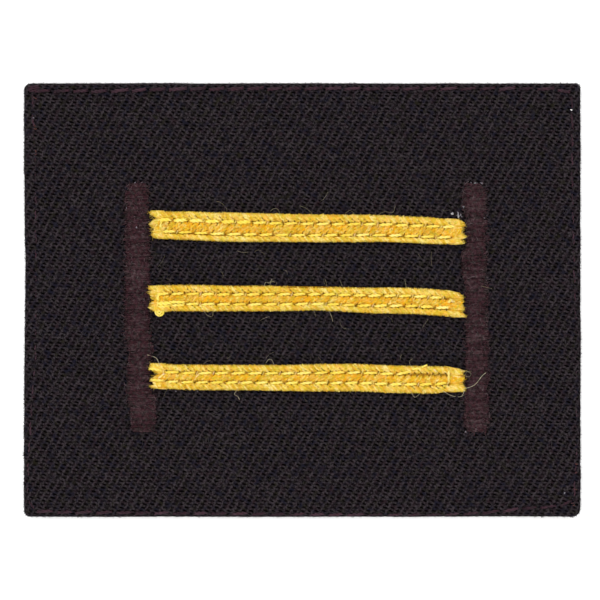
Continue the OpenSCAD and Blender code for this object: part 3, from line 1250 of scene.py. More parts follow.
@dataclass
class PlaitedBraid:
    """A narrow flat braid: three cords bound by yarns that plait over and under them, cut at both ends."""

    node: str
    label: str
    seed: int
    # Where the two sewing channels lie, in shares of the width: the lower and the upper
    channels: tuple[float, float]
    # How far the soft yarns pass the plain solid. columns: X, past the upper edge, past the lower edge
    swell: Rows
    # Where the yarns end. columns: share across the braid, X
    left_tips: Rows
    right_tips: Rows
    yarn: float = 0.29
    pitch: float = 0.78
    slant: float = 0.62
    # Heights over the braid's base: of the channels' floor and of the ribs' crowns
    floor: float = 0.47
    outer_height: float = 0.9
    middle_height: float = 0.8
    channel_half: float = 0.03
    # How a strand's three yarns spread on the way down to a channel. They are drawn together beside it, which
    # leaves a small hole between one strand and the next. columns: angle in degrees, share of the full spread
    drawn: Rows = (
        (90, 1.04), (109, 1.0), (118, 0.4), (128, 0.2), (137, 0.4), (146, 0.82), (162, 0.8), (180, 0.6),
    )
    # The same on the way up from the braid's edge, where the first place lies on the cloth
    rising: Rows = ((-38, 0.95), (0, 1), (20, 1), (50, 1))
    # Cut ends: layers, yarns in a layer, and along a yarn: distance from its tip, height, splay and girth
    end_layers: int = 3
    end_yarns: int = 38
    end_run: Sequence[float] = (1.8, 1.2, 0.75, 0.35, 0.0)
    end_rise: Sequence[float] = (0.8, 0.98, 1.0, 0.92, 0.75)
    end_splay: Sequence[float] = (0, 0, 0.1, 0.5, 1)
    end_girth: Sequence[float] = (0.8, 0.8, 0.7, 0.6, 0.2)
    # How strongly the cut yarns are drawn into tufts at each end
    tufting: dict[Side, float] = field(default_factory=lambda: {Side.LEFT: 0.35, Side.RIGHT: 0.15})
    face_fibres: int = 2900
    edge_fibres: int = 2400
    end_fibres: int = 50
    outline: Outline = field(init=False)
    rng: np.random.Generator = field(init=False)
    ribs: list[Rib] = field(init=False)

    def __post_init__(self) -> None:
        """Read the outline off the plain solid and set the ribs between the channels."""
        self.outline = Outline(self.node, Axis.ACROSS)
        self.rng = np.random.default_rng(self.seed)
        lower, upper = self.channels
        off = self.channel_half
        # The middle rib takes much of the warm orange, the outer ribs little: a painted shade for where the
        # middle rib lies low between the stitch rows, with the yarn's own warm patches drifting along it.
        self.ribs = [
            Rib(-0.5, lower - off, self.outer_height, Lean.BACKWARD, 0.06, 0.4, 0.0),
            Rib(lower + off, upper - off, self.middle_height, Lean.FORWARD, 0.5, 1.0, 0.1),
            Rib(upper + off, 0.5, self.outer_height, Lean.BACKWARD, 0.06, 0.4, 0.0),
        ]

    def past(self, x: float | Array, column: int) -> float | Array:
        """How far the yarns pass the solid's upper (1) or lower (2) edge at a place along it."""
        rows = np.array(self.swell)
        return np.interp(x, rows[:, 0], rows[:, column])

    def middle(self, x: float | Array) -> float | Array:
        """Middle of the soft braid at a place along it."""
        return self.outline.middle(x) + (self.past(x, 1) - self.past(x, 2)) / 2

    def width(self, x: float | Array) -> float | Array:
        """Width of the soft braid at a place along it."""
        return self.outline.width(x) + self.past(x, 1) + self.past(x, 2)

    def across(self, x: float | Array, share: float | Array) -> float | Array:
        """Y of a place on the braid."""
        return self.middle(x) + share * self.width(x)

    def tips(self, side: Side) -> Array:
        """Where the yarns end on one side. columns: share across the braid, X"""
        return np.array(self.left_tips if side is Side.LEFT else self.right_tips)

    def end_of(self, share: float, side: Side) -> float:
        """Place along X where a rib ends at one end of the braid, at a share of the braid's width."""
        rows = self.tips(side)[::-1]
        return float(np.interp(share, rows[:, 0], rows[:, 1]))

    def rise(self, x: float) -> float:
        """Height factor of the braid, which lies flatter towards its cut ends."""
        return float(np.interp(self.outline.from_end(x), [0, 2.4], [0.82, 1]))

    def surface(self, x: float, share: float) -> float:
        """Height of the plait's surface over a place on the braid.

        Args:
            x: Place along the braid.
            share: Place across it.

        Returns:
            The height, higher over a rib than over a channel.
        """
        height = self.floor
        for rib in self.ribs:
            off = (share - rib.middle) / rib.half
            if abs(off) < 1:
                height = self.floor + (rib.height - self.floor) * math.sqrt(1 - off * off)
        return self.outline.base + height * self.rise(x)

    def over_rib(self, rib: Rib, x: float) -> list[Thread]:
        """Bend one strand of three yarns over a rib, from one sewing channel or edge to the other.

        Args:
            rib: The rib that it crosses.
            x: Where it crosses the rib's crown.

        Returns:
            The strand's yarns.
        """
        rng, radius = self.rng, self.yarn / 2
        drawn = [(angle, rib.loose + (1 - rib.loose) * share) for angle, share in self.drawn]
        before = self.rising if rib.outer else [(180 - angle, share) for angle, share in drawn[:0:-1]]
        places = [*before, *drawn]
        spread = self.pitch / 3 * rng.uniform(1.0, 1.05) * (1 if rib.outer else 1.08)
        strand_tone = rng.uniform(-0.35, 0.35)
        heat = 0.45 * float(hills(x, rib.middle * 9.0, 1.3, self.seed))
        x += rng.uniform(-0.03, 0.03)
        width = float(self.width(x)) + (rng.uniform(-0.05, 0.08) if rib.outer else 0)
        rise, base = self.rise(x), self.outline.base
        half = rib.half * width - radius
        floor = base + self.floor * rise
        crown = base + rib.height * rise - radius + rng.uniform(-0.02, 0.01)
        bow = rng.uniform(-0.05, 0.05)
        threads = []
        for k in (-1, 0, 1):
            route = []
            for angle, share in places:
                turn = math.radians(max(angle, 0))
                across = half * math.cos(turn) * (rib.outer or 1)
                z = floor + (crown - floor) * math.sin(turn) if angle >= 0 else base + radius - 0.1
                lean = rib.lean.value * self.slant * across / (2 * half)
                along = x + lean + k * spread * share + bow * math.sin(turn) + rng.uniform(-0.025, 0.025)
                bulge = rng.normal(0, 0.045) * max(math.cos(turn), 0) * rib.outer
                route.append((along, float(self.across(x, rib.middle)) + across + bulge, z))
            # The yarn dives into the channel at each end that doesn't lie at the braid's edge.
            for edge, spot in ([(rib.outer, -1)] if rib.outer else [(1, 0), (-1, -1)]):
                channel = self.channels[1] if edge > 0 else self.channels[0]
                dive = (route[spot][0], float(self.across(x, channel)), floor - 0.25)
                route.insert(0 if spot == 0 else len(route), dive)
            girth = radius * rng.uniform(0.95, 1.06)
            tone = float(np.clip(strand_tone + rng.uniform(-0.6, 0.6), -1, 1))
            warmth = float(np.clip(rib.warmth + heat * rib.drift + rng.uniform(-0.2, 0.2), 0, 1))
            threads.append(Thread(np.array(route), girth, tone, warmth))
        return threads

    def cut_end(self, side: Side) -> list[Thread]:
        """Let the cut yarns run out from under the last strands, fraying a little.

        Args:
            side: Which end of the braid.

        Returns:
            The yarn ends.
        """
        rng, threads = self.rng, []
        way, base = side.value, self.outline.base
        rows = self.tips(side)
        out = way * np.array([rows[1, 1], *rows[:, 1], rows[-2, 1]])
        tufts = rows[(out[1:-1] >= out[:-2]) & (out[1:-1] >= out[2:]), 0]
        for share in np.linspace(-0.475, 0.475, self.end_yarns):
            for layer in range(self.end_layers):
                place = share + rng.uniform(-0.012, 0.012)
                tuft = tufts[np.argmin(np.abs(tufts - place))]
                tip = self.end_of(place, side) + way * rng.uniform(-0.25, 0.08)
                xs = tip - way * np.array(self.end_run)
                pull = self.tufting[side] * (tuft - place) * float(self.width(tip))
                splay = rng.uniform(-0.06, 0.06) + pull
                tops = np.maximum([self.surface(x, place) - base for x in xs], 0.64) - self.yarn / 2
                zs = base + tops * (1 - 0.3 * layer) * np.array(self.end_rise)
                route = np.stack([xs, self.across(xs, place) + splay * np.array(self.end_splay), zs], 1)
                girth = self.yarn / 2 * np.array(self.end_girth)
                threads.append(Thread(route, girth, rng.uniform(-0.9, 0.9), rng.uniform(0, 0.15)))
        return threads

    def plait(self) -> Piece:
        """Plait the three ribs.

        Returns:
            All yarns of the braid as one piece.
        """
        threads: list[Thread] = []
        for rib in self.ribs:
            low = self.end_of(rib.middle, Side.LEFT) + 0.85
            high = self.end_of(rib.middle, Side.RIGHT) - 0.85
            count = round((high - low) / self.pitch)
            for x in np.linspace(low, high, count + 1) + (0 if rib.outer else 0.2):
                threads += self.over_rib(rib, float(x))
        for side in Side:
            threads += self.cut_end(side)
        return thread_mesh(f"{self.label}_plait", threads)

    def core(self, inset: float = 0.15, shorter: float = 0.955) -> Piece:
        """Cut the three cords that the plait is bound round, a little inside the plain solid.

        Args:
            inset: How far the core's surface lies inside the solid's.
            shorter: Share of the solid's length that it keeps.

        Returns:
            The core as one closed piece.
        """
        core = bpy.data.objects.new(f"{self.label}_core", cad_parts[self.node].data.copy())
        bpy.context.collection.objects.link(core)
        select_only(core)
        bpy.ops.object.mode_set(mode="EDIT")
        bpy.ops.mesh.select_all(action="SELECT")
        bpy.ops.mesh.remove_doubles(threshold=0.001 * MM)
        bpy.ops.mesh.normals_make_consistent(inside=False)
        bpy.ops.transform.shrink_fatten(value=-inset * MM)
        bpy.ops.object.mode_set(mode="OBJECT")
        points = read_points(core.data)
        middle = (self.outline.low + self.outline.high) / 2 * MM
        points[:, 0] = middle + (points[:, 0] - middle) * shorter
        write_points(core.data, points)
        bpy.ops.object.shade_smooth_by_angle(angle=math.radians(60))
        return core

    def face_fibre(self, number: int) -> Thread | None:
        """Raise one fibre on the face, every second one on the middle rib.

        Args:
            number: Number of the fibre.

        Returns:
            The fibre, or none where it would cover one of the small holes beside the channels.
        """
        rng, central = self.rng, (self.ribs[1].low, self.ribs[1].high)
        share = float(rng.uniform(*(central if number % 2 else (-0.47, 0.47))))
        if min(abs(abs(share - row) * 4 - 0.44) for row in self.channels) < 0.13:
            return None
        x = rng.uniform(self.end_of(share, Side.LEFT) + 0.3, self.end_of(share, Side.RIGHT) - 0.3)
        z = self.surface(x, share) - 0.03
        heading = rng.uniform(0, 2 * math.pi)
        length = min(rng.uniform(0.25, 0.8), (0.55 - abs(share)) * float(self.width(x)))
        tone = rng.uniform(-0.1, 1.2)
        bend, radius = rng.uniform(-1.5, 1.5), rng.uniform(0.01, 0.018)
        warmth = rng.uniform(0.2, 1) if central[0] < share < central[1] else 0.0
        start = (x, float(self.across(x, share)), z)
        return loose_fibre(start, heading, length, bend, 0.05, radius, tone, 0.03, warmth)

    def edge_fibre(self) -> Thread:
        """Raise one short fibre that stands out past an edge.

        Returns:
            The fibre.
        """
        rng = self.rng
        edge = rng.choice((-1, 1))
        share = float(edge * 0.485)
        x = rng.uniform(self.end_of(share, Side.LEFT) + 0.3, self.end_of(share, Side.RIGHT) - 0.3)
        z = self.outline.base + rng.uniform(0.1, 0.75)
        heading = edge * math.pi / 2 + rng.uniform(-1.2, 1.2)
        length = min(0.05 + min(rng.exponential(0.03), 0.1), (0.55 - abs(share)) * float(self.width(x)))
        drop = min(z - self.outline.base, 0.35) * rng.uniform(0, 0.7)
        tone = rng.uniform(-0.6, 0.7)
        bend, radius = rng.uniform(-1.5, 1.5), rng.uniform(0.01, 0.018)
        start = (x, float(self.across(x, share)), z)
        return loose_fibre(start, heading, length, bend, 0.05, radius, tone, drop)

    def end_fibre(self, side: Side) -> Thread:
        """Raise one fibre at a cut end.

        Args:
            side: Which end.

        Returns:
            The fibre.
        """
        rng = self.rng
        share = rng.uniform(-0.48, 0.48)
        x = self.end_of(share, side) - side.value * rng.uniform(0.15, 0.5)
        z = self.outline.base + rng.uniform(0.15, 0.7)
        heading = (0 if side is Side.RIGHT else math.pi) + rng.normal(0, 0.4)
        length, bend = rng.uniform(0.25, 0.6), rng.uniform(-1, 1)
        radius, tone = rng.uniform(0.012, 0.02), rng.uniform(-0.3, 1.0)
        start = (x, float(self.across(x, share)), z)
        return loose_fibre(start, heading, length, bend, 0.04, radius, tone, 0.1)

    def nap(self) -> Piece:
        """Raise the fine fibres that stand off the yarns, over the face and out past the edges and ends.

        Returns:
            The fibres as one piece.
        """
        threads = [self.face_fibre(number) for number in range(self.face_fibres)]
        threads += [self.edge_fibre() for _ in range(self.edge_fibres)]
        threads += [self.end_fibre(side) for side in Side for _ in range(self.end_fibres)]
        return thread_mesh(f"{self.label}_nap", [thread for thread in threads if thread], sides=3)


@dataclass(frozen=True)
class StitchRow:
    """One row of stitches along a braid's channel."""

    first: float
    last: float
    pitch: float
    # Course of the row. columns: X, share across the braid, thickness
    course: Rows

    def joints(self, rng: np.random.Generator) -> Array:
        """Space the needle holes along the row.

        Args:
            rng: Source of the small strays.

        Returns:
            X of each hole.
        """
        count = round((self.last - self.first) / self.pitch)
        places = np.linspace(self.first, self.last, count + 1)
        return places + rng.uniform(-0.06, 0.06, count + 1)

    def at(self, x: float, column: int) -> float:
        """Share across the braid (1) or thickness (2) at a place along the row."""
        rows = np.array(self.course)
        return float(np.interp(x, rows[:, 0], rows[:, column]))


@dataclass
class BraidStitching:
    """The two rows of lemon stitches that hold a braid, and the few stray ones over them."""

    braid: PlaitedBraid
    rows: Sequence[StitchRow]
    # Stray stitches. columns: X, Y of each end, thickness, height of its middle line, share of the pale tone,
    # which is a painted glint
    strays: Rows
    # Loops of slack thread, each by the points that it passes. columns: X, Y, height
    loops: Sequence[Rows] = ()
    loop_radius: float = 0.14
    top: float = 0.72
    gap: float = 0.13
    rise_across: float = 0.07
    # Share of the holes where the lower thread glints, and half its reach along and across the row
    glints: float = 0.3
    glint_reach: tuple[float, float] = (0.1, 0.24)

    def holes(self, row: StitchRow) -> Array:
        """Needle holes of one row, in plan."""
        rng = np.random.default_rng(self.braid.seed + round(10 * row.pitch))
        return np.array([(x, self.braid.across(x, row.at(x, 1))) for x in row.joints(rng)], float)

    def level(self, x: float, above: float) -> float:
        """Height over the floor of a place along the braid that lies so far above its base."""
        return self.braid.outline.base + above * self.braid.rise(x)

    def sew_row(self, row: StitchRow, rng: np.random.Generator) -> list[Thread]:
        """Sew one row, and let the lower thread glint at some of its holes.

        Args:
            row: The row.
            rng: Source of the small differences.

        Returns:
            The stitches' plies.
        """
        threads: list[Thread] = []
        along, across = self.glint_reach
        holes = self.holes(row)
        for a, b in zip(holes, holes[1:]):
            share = self.gap / np.linalg.norm(b - a)
            inset = (b - a) * share
            ends = []
            for point, lift in ((a + inset, -self.rise_across), (b - inset, self.rise_across)):
                ends.append((point[0], point[1] + lift, self.level(point[0], self.top)))
            thick = row.at((a[0] + b[0]) / 2, 2) * rng.uniform(0.98, 1.12)
            threads += Stitch(*ends, thick, 0.4, hook=0.08, tone=rng.uniform(-0.5, 0.6)).threads()
            if rng.random() < self.glints:
                x, y = b
                z = self.level(x, self.top + 0.02)
                ends = ((x - along, y - across, z), (x + along, y + across, z))
                threads += Stitch(*ends, 0.12, 0.1, tone=0.5, warmth=rng.uniform(0.2, 0.8)).threads()
        return threads

    def sew(self) -> Piece:
        """Sew both rows, the stray stitches and the slack loops.

        Returns:
            The stitching as one piece.
        """
        rng = np.random.default_rng(self.braid.seed + 5)
        threads: list[Thread] = []
        for row in self.rows:
            threads += self.sew_row(row, rng)
        for xa, ya, xb, yb, thick, top, pale in self.strays:
            ends = [(x, y, self.level(x, top)) for x, y in ((xa, ya), (xb, yb))]
            threads += Stitch(*ends, thick, 0.25, tone=0.2, warmth=pale).threads()
        for points in self.loops:
            route = smooth_route([(x, y, self.braid.outline.base + z) for x, y, z in points], 6)
            threads.append(Thread(route, self.loop_radius, 0.2))
        return thread_mesh(f"{self.braid.label}_stitching", threads)


@dataclass
class SatinBar:
    """An upright column of satin stitches, each thread lying nearly straight across it."""

    node: str
    label: str
    seed: int
    pitch: float = 0.13
    thread: float = 0.25
    # Height of the bar's edge, as a share of its crown's
    edge_rise: float = 0.35
    # Places across the bar that a thread passes, closer together where it bends down
    shares: Sequence[float] = (-0.5, -0.485, -0.4, -0.2, 0, 0.2, 0.4, 0.485, 0.5)
    # Share of the threads that get a painted shade, drawn dark as if they lay sunk, and their tone
    shaded_sunk: float = 0.12
    shaded_sunk_tone: float = -1.3
    fibres: int = 2000
    # Pitch of the lower thread's zigzag, and how far it goes to each side
    zigzag_pitch: float = 0.3
    zigzag_half: float = 0.45
    outline: Outline = field(init=False)

    def __post_init__(self) -> None:
        """Read the outline off the plain solid."""
        self.outline = Outline(self.node, Axis.UP, trim=0.05)

    def crown(self, share: float | Array) -> float | Array:
        """Height over the bar's base at a share of its width from its middle."""
        arch = np.sqrt(np.maximum(1 - (2 * share) ** 2, 0))
        return (self.outline.top - self.outline.base) * (self.edge_rise + (1 - self.edge_rise) * arch)

    def sew(self) -> Piece:
        """Lay the threads side by side up the bar.

        Returns:
            The bar as one piece.
        """
        rng, outline = np.random.default_rng(self.seed), self.outline
        threads: list[Thread] = []
        radius = self.thread / 2
        count = round((outline.high - outline.low - self.thread) / self.pitch)
        shares = np.array(self.shares)
        for number, y in enumerate(np.linspace(outline.low + radius, outline.high - radius, count + 1)):
            near = outline.from_end(y)
            width = float(outline.width(y)) + rng.uniform(-0.35, 0.4)
            width *= 1 - 0.14 * math.exp(-near / 0.3)
            middle = float(outline.middle(y)) + rng.uniform(-0.15, 0.15)
            slope = (0.05 if number % 2 else -0.05) + rng.uniform(-0.06, 0.06)
            rise = float(np.interp(near, [0, 1.2], [0.7, 1]))
            z = outline.base + rise * self.crown(shares) - radius
            z[[0, -1]] = outline.base - 0.02
            z[1:-1] += rng.uniform(-0.02, 0.0, len(shares) - 2)
            sway = 0.06 * hills(np.full(len(shares), y), middle + shares * width, 0.6, self.seed)
            route = np.stack([middle + shares * (width - self.thread), y + slope * 2 * shares + sway, z], 1)
            # Tone drifts in bands up the bar and differs from thread to thread, and a share of the threads
            # gets a painted shade, drawn dark as if it lay sunk between the others.
            tone = 0.7 * float(hills(y, 0.5, 0.45, self.seed + 2)) + rng.uniform(-0.5, 0.5)
            if rng.random() < self.shaded_sunk:
                tone = self.shaded_sunk_tone
            threads.append(Thread(route, radius * rng.uniform(0.92, 1.06), tone, rng.uniform(0, 0.6)))
        return thread_mesh(self.label, threads)

    def nap(self) -> Piece:
        """Raise the worn fibres of the stitches, which blur them and their edges.

        Returns:
            The fibres as one piece.
        """
        rng, outline = np.random.default_rng(self.seed + 1), self.outline
        threads = []
        for number in range(self.fibres):
            y = rng.uniform(outline.low + 0.1, outline.high - 0.1)
            edge = number % 5 == 0
            share = rng.choice((-0.5, 0.5)) + rng.normal(0, 0.02) if edge else rng.uniform(-0.5, 0.5)
            x = float(outline.middle(y)) + share * float(outline.width(y))
            start = (x, y, outline.base + float(self.crown(share)))
            heading = rng.choice((0, math.pi)) + rng.normal(0, 1.2 if edge else 0.5)
            length, bend = rng.uniform(0.2, 0.9), rng.uniform(-2.5, 2.5)
            radius = rng.uniform(0.014, 0.024)
            tone, warmth = rng.normal(-0.3 if edge else -0.8, 0.9), rng.uniform(0, 0.7)
            threads.append(loose_fibre(start, heading, length, bend, 0.05, radius, tone, 0.02, warmth))
        return thread_mesh(f"{self.label}_nap", threads, sides=3)

    def zigzag(self) -> Array:
        """Set out the needle holes of the lower thread, which runs up the back of the bar.

        Returns:
            The holes in plan.
        """
        pitch, half = self.zigzag_pitch, self.zigzag_half
        places = np.arange(self.outline.low + pitch, self.outline.high - pitch, pitch)
        sides = np.where(np.arange(len(places)) % 2, half, -half)
        return np.stack([self.outline.middle(places) + sides, places], 1)


# Gold fibres that the braids have shed: how bright (-1 to 1), then the points that each passes. columns: X, Y
SHED_GOLD = (
    (-0.8, ((-11.1, 12.8), (-10.5, 12.6), (-9.8, 11.9), (-9.7, 11.4))),
    (-0.2, ((-4.1, 11.5), (-3.7, 11.8), (-3.2, 11.8), (-2.85, 11.2))),
    (-0.7, ((-0.3, 12.2), (0.5, 11.9), (1.4, 11.1))),
    (-0.8, ((5.6, 11.2), (6.2, 11.6), (6.8, 11.1))),
    (-0.6, ((9.8, 11.0), (10.7, 11.45), (11.7, 11.3), (12.1, 12.2))),
    (0.7, ((-4.9, 1.8), (-4.7, 2.3), (-4.2, 2.2), (-3.9, 2.7))),
    (0.3, ((-4.2, 1.9), (-3.9, 2.4), (-3.5, 2.3))),
    (-0.3, ((-12.7, -1.4), (-12.2, -2.0), (-11.6, -2.1), (-11.5, -1.4))),
    (-0.7, ((3.0, 2.7), (3.3, 1.6))),
    (-0.5, ((4.9, 2.6), (5.3, 1.6))),
    (-0.4, ((13.3, 2.7), (13.5, 1.5))),
    (-0.8, ((1.5, -1.2), (1.8, -2.2))),
    (0.2, ((3.5, -1.4), (3.8, -2.1), (4.0, -2.8))),
    (1.3, ((-18.4, -8.4), (-18.9, -7.5), (-20.0, -7.1))),
    (0.4, ((-4.7, -8.2), (-4.3, -7.7), (-3.9, -7.8), (-3.6, -8.4))),
    (0.8, ((-8.3, -11.5), (-8.75, -12.2), (-8.3, -12.5), (-8.1, -12.9))),
    (-0.2, ((14.1, -8.6), (13.9, -8.0), (14.3, -7.6))),
    (0.6, ((14.0, -11.7), (14.6, -12.6), (15.3, -12.1))),
    (0.8, ((18.3, -11.8), (19.4, -12.4), (20.6, -12.5), (21.0, -11.7))),
    (1.0, ((20.9, -11.5), (22.3, -11.0), (23.3, -9.8), (23.8, -9.4))),
    (-0.5, ((23.2, 1.8), (24.0, 1.6), (24.6, 1.5))),
    (-0.3, (
        (20.5, -9.0), (21.2, -9.2), (21.85, -9.5), (21.6, -9.95), (21.2, -9.8), (21.3, -9.3), (21.9, -9.2),
    )),
)
# Specks of white lint. columns: X, Y, reach, thickness of its fibres, dusty (-1) to clean (1)
LINT = (
    (34.9, 24.6, 0.22, 0.05, 1), (21.2, -17.1, 0.2, 0.04, -0.5), (19.4, 11.2, 0.3, 0.06, 0.5),
    (20.3, 10.95, 0.6, 0.035, 0.3), (20.9, 12.0, 0.3, 0.025, -0.9), (21.9, 15.2, 0.16, 0.035, -1),
    (22.5, 15.1, 0.4, 0.08, -0.4), (23.3, 15.1, 0.25, 0.05, -0.9), (-21.6, 15.1, 0.3, 0.05, -0.8),
    (-20.7, 15.2, 0.14, 0.025, -1), (-21.4, 9.4, 0.14, 0.04, -0.8), (-22.7, 11.9, 0.12, 0.02, -1),
    (23.6, 10.6, 0.1, 0.02, -1), (34.0, -25.0, 0.2, 0.04, -1), (10.2, -12.6, 0.16, 0.04, -0.4),
    (-16.3, -11.8, 0.12, 0.02, -1), (-13.5, -11.8, 0.12, 0.02, -1), (-34.8, 23.6, 0.14, 0.03, -1),
)


@dataclass
class LooseFibres:
    """Fibres that lie loose on the face, each resting on what is under it."""

    ground: GroundCloth
    seed: int = 97
    # Scattered gold fibres beside each braid, and how far from it they spread
    shed: int = 9
    shed_spread: float = 0.6
    # Hairs over the face, how far inside the edge they end, and hairs along the folded edge
    hairs: int = 2200
    margin: float = 1.6
    edge_hairs: int = 3900
    lint_fibres: int = 5

    def rest(self, x: float, y: float) -> float:
        """Height that a fibre rests at over a place in plan.

        Args:
            x: Place along X.
            y: Place along Y.

        Returns:
            A little above the braid or bar there, or else above the cloth.
        """
        for node in (*BRAIDS, *BARS):
            low, high = box_of(node)
            if low.x < x < high.x and low.y + 0.15 < y < high.y - 0.15:
                return high.z + 0.02
        return self.ground.face_height(x, y) + 0.04

    def gold(self) -> Piece:
        """Lay the fibres that the braids have shed.

        Returns:
            The fibres as one piece.
        """
        rng = np.random.default_rng(self.seed)
        threads = []
        for bright, places in SHED_GOLD:
            points = [(x, y, self.rest(x, y)) for x, y in places]
            threads.append(Thread(smooth_route(points), 0.024 + 0.008 * bright, bright))
        for node in BRAIDS:
            low, high = box_of(node)
            for _ in range(self.shed):
                x = rng.uniform(low.x, high.x)
                edge = rng.choice((-1, 1))
                y = (high.y if edge > 0 else low.y) + edge * abs(rng.normal(0, self.shed_spread))
                start, heading = (x, y, self.rest(x, y)), rng.uniform(0, 2 * math.pi)
                length, bend = rng.uniform(0.5, 1.8), rng.uniform(-2, 2)
                radius, tone = rng.uniform(0.008, 0.013), rng.uniform(-1.2, 0.4)
                threads.append(loose_fibre(start, heading, length, bend, 0.08, radius, tone))
        return thread_mesh("shed_gold_fibres", threads, sides=4)

    def face_hair(self, rng: np.random.Generator) -> Thread:
        """Raise one hair on the cloth's face.

        Args:
            rng: Source of its place and shape.

        Returns:
            The hair.
        """
        half_x, half_y = (size / 2 - self.margin for size in (self.ground.width, self.ground.height))
        x, y = rng.uniform(-1, 1) * half_x, rng.uniform(-1, 1) * half_y
        start = (x, y, self.ground.face_height(x, y) - 0.02)
        heading, length = rng.uniform(0, 2 * math.pi), rng.uniform(0.4, 1.5)
        bend, radius, tone = rng.uniform(-2.5, 2.5), rng.uniform(0.012, 0.02), rng.uniform(-1, 1)
        return loose_fibre(start, heading, length, bend, 0.07, radius, tone)

    def edge_hair(self, point: bpy.types.MeshVertex, rng: np.random.Generator) -> Thread:
        """Raise one short hair that stands out from the folded edge.

        Args:
            point: Point of the cloth's mesh beside which it grows.
            rng: Source of its place and shape.

        Returns:
            The hair.
        """
        place, out = point.co / MM, point.normal
        along = rng.uniform(-0.15, 0.15)
        start = (place.x - 0.03 * out.x - along * out.y, place.y - 0.03 * out.y + along * out.x, place.z)
        heading = math.atan2(out.y, out.x) + rng.uniform(-1.2, 1.2)
        length, bend = rng.uniform(0.1, 0.26), rng.uniform(-1.5, 1.5)
        radius, tone = rng.uniform(0.011, 0.017), rng.uniform(-1, 1)
        return loose_fibre(start, heading, length, bend, 0.03, radius, tone)

    def fuzz(self) -> Piece:
        """Raise the short fuzz of the cloth, over its face and along its folded edge.

        Returns:
            The fuzz as one piece.
        """
        rng = np.random.default_rng(self.seed + 1)
        threads = [self.face_hair(rng) for _ in range(self.hairs)]
        cloth = bpy.data.objects["twill_ground"].data
        rim = [point for point in cloth.vertices if abs(point.normal.z) < 0.4]
        chosen = rng.integers(0, len(rim), self.edge_hairs)
        threads += [self.edge_hair(rim[number], rng) for number in chosen]
        return thread_mesh("cloth_fuzz", threads, sides=3)

    def lint(self) -> Piece:
        """Drop the specks of white lint, each a few crumpled fibres.

        Returns:
            The lint as one piece.
        """
        rng = np.random.default_rng(self.seed + 2)
        threads = []
        for x, y, reach, thick, clean in LINT:
            for _ in range(self.lint_fibres):
                heading = rng.uniform(0, 2 * math.pi)
                way = (math.cos(heading), math.sin(heading))
                start = (x - reach / 2 * way[0], y - reach / 2 * way[1], self.rest(x, y))
                length, bend = reach * rng.uniform(0.7, 1.2), rng.uniform(-2, 2)
                threads.append(loose_fibre(start, heading, length, bend, 0.06, thick * 0.7, clean))
        return thread_mesh("white_lint", threads, sides=5)


def top_stitching() -> BraidStitching:
    """Set out the top braid and the stitches on it.

    Returns:
        The braid with its stitches.
    """
    braid = PlaitedBraid(
        "braid_top", "top_braid", 31, channels=(-0.25, 0.17),
        swell=(
            (-18, 0, 0), (-16.5, -0.05, 0.17), (-14.5, 0.1, 0.14), (-9, 0.1, 0.18), (-4, 0.03, 0.14),
            (1, -0.05, 0.17), (6, -0.09, 0.17), (12, -0.05, 0.12), (16.5, -0.04, 0.12), (18.5, -0.17, 0.05),
            (20, -0.17, -0.1),
        ),
        left_tips=(
            (0.47, -19.85), (0.4, -19.75), (0.31, -19.55), (0.24, -19.3), (0.17, -19.45), (0.02, -19.85),
            (-0.05, -19.6), (-0.2, -19.55), (-0.25, -19.45), (-0.37, -19.55), (-0.48, -19.3),
        ),
        right_tips=(
            (0.48, 20.6), (0.4, 21.0), (0.27, 21.15), (0.15, 20.95), (0.04, 20.9), (-0.04, 20.75),
            (-0.2, 21.45), (-0.33, 20.9), (-0.5, 21.15),
        ),
    )
    upper = ((-18.7, 0.19, 0.6), (-7, 0.18, 0.6), (-6, 0.16, 0.4), (14, 0.15, 0.42), (20, 0.19, 0.42))
    lower = ((-18, -0.23, 0.38), (0, -0.26, 0.42), (20, -0.23, 0.4))
    return BraidStitching(
        braid, (StitchRow(-18.75, 20.0, 2.04, upper), StitchRow(-18.26, 19.4, 2.13, lower)),
        strays=((-18.25, 10.4, -18.3, 9.05, 0.34, 0.85, 0.1),),
    )


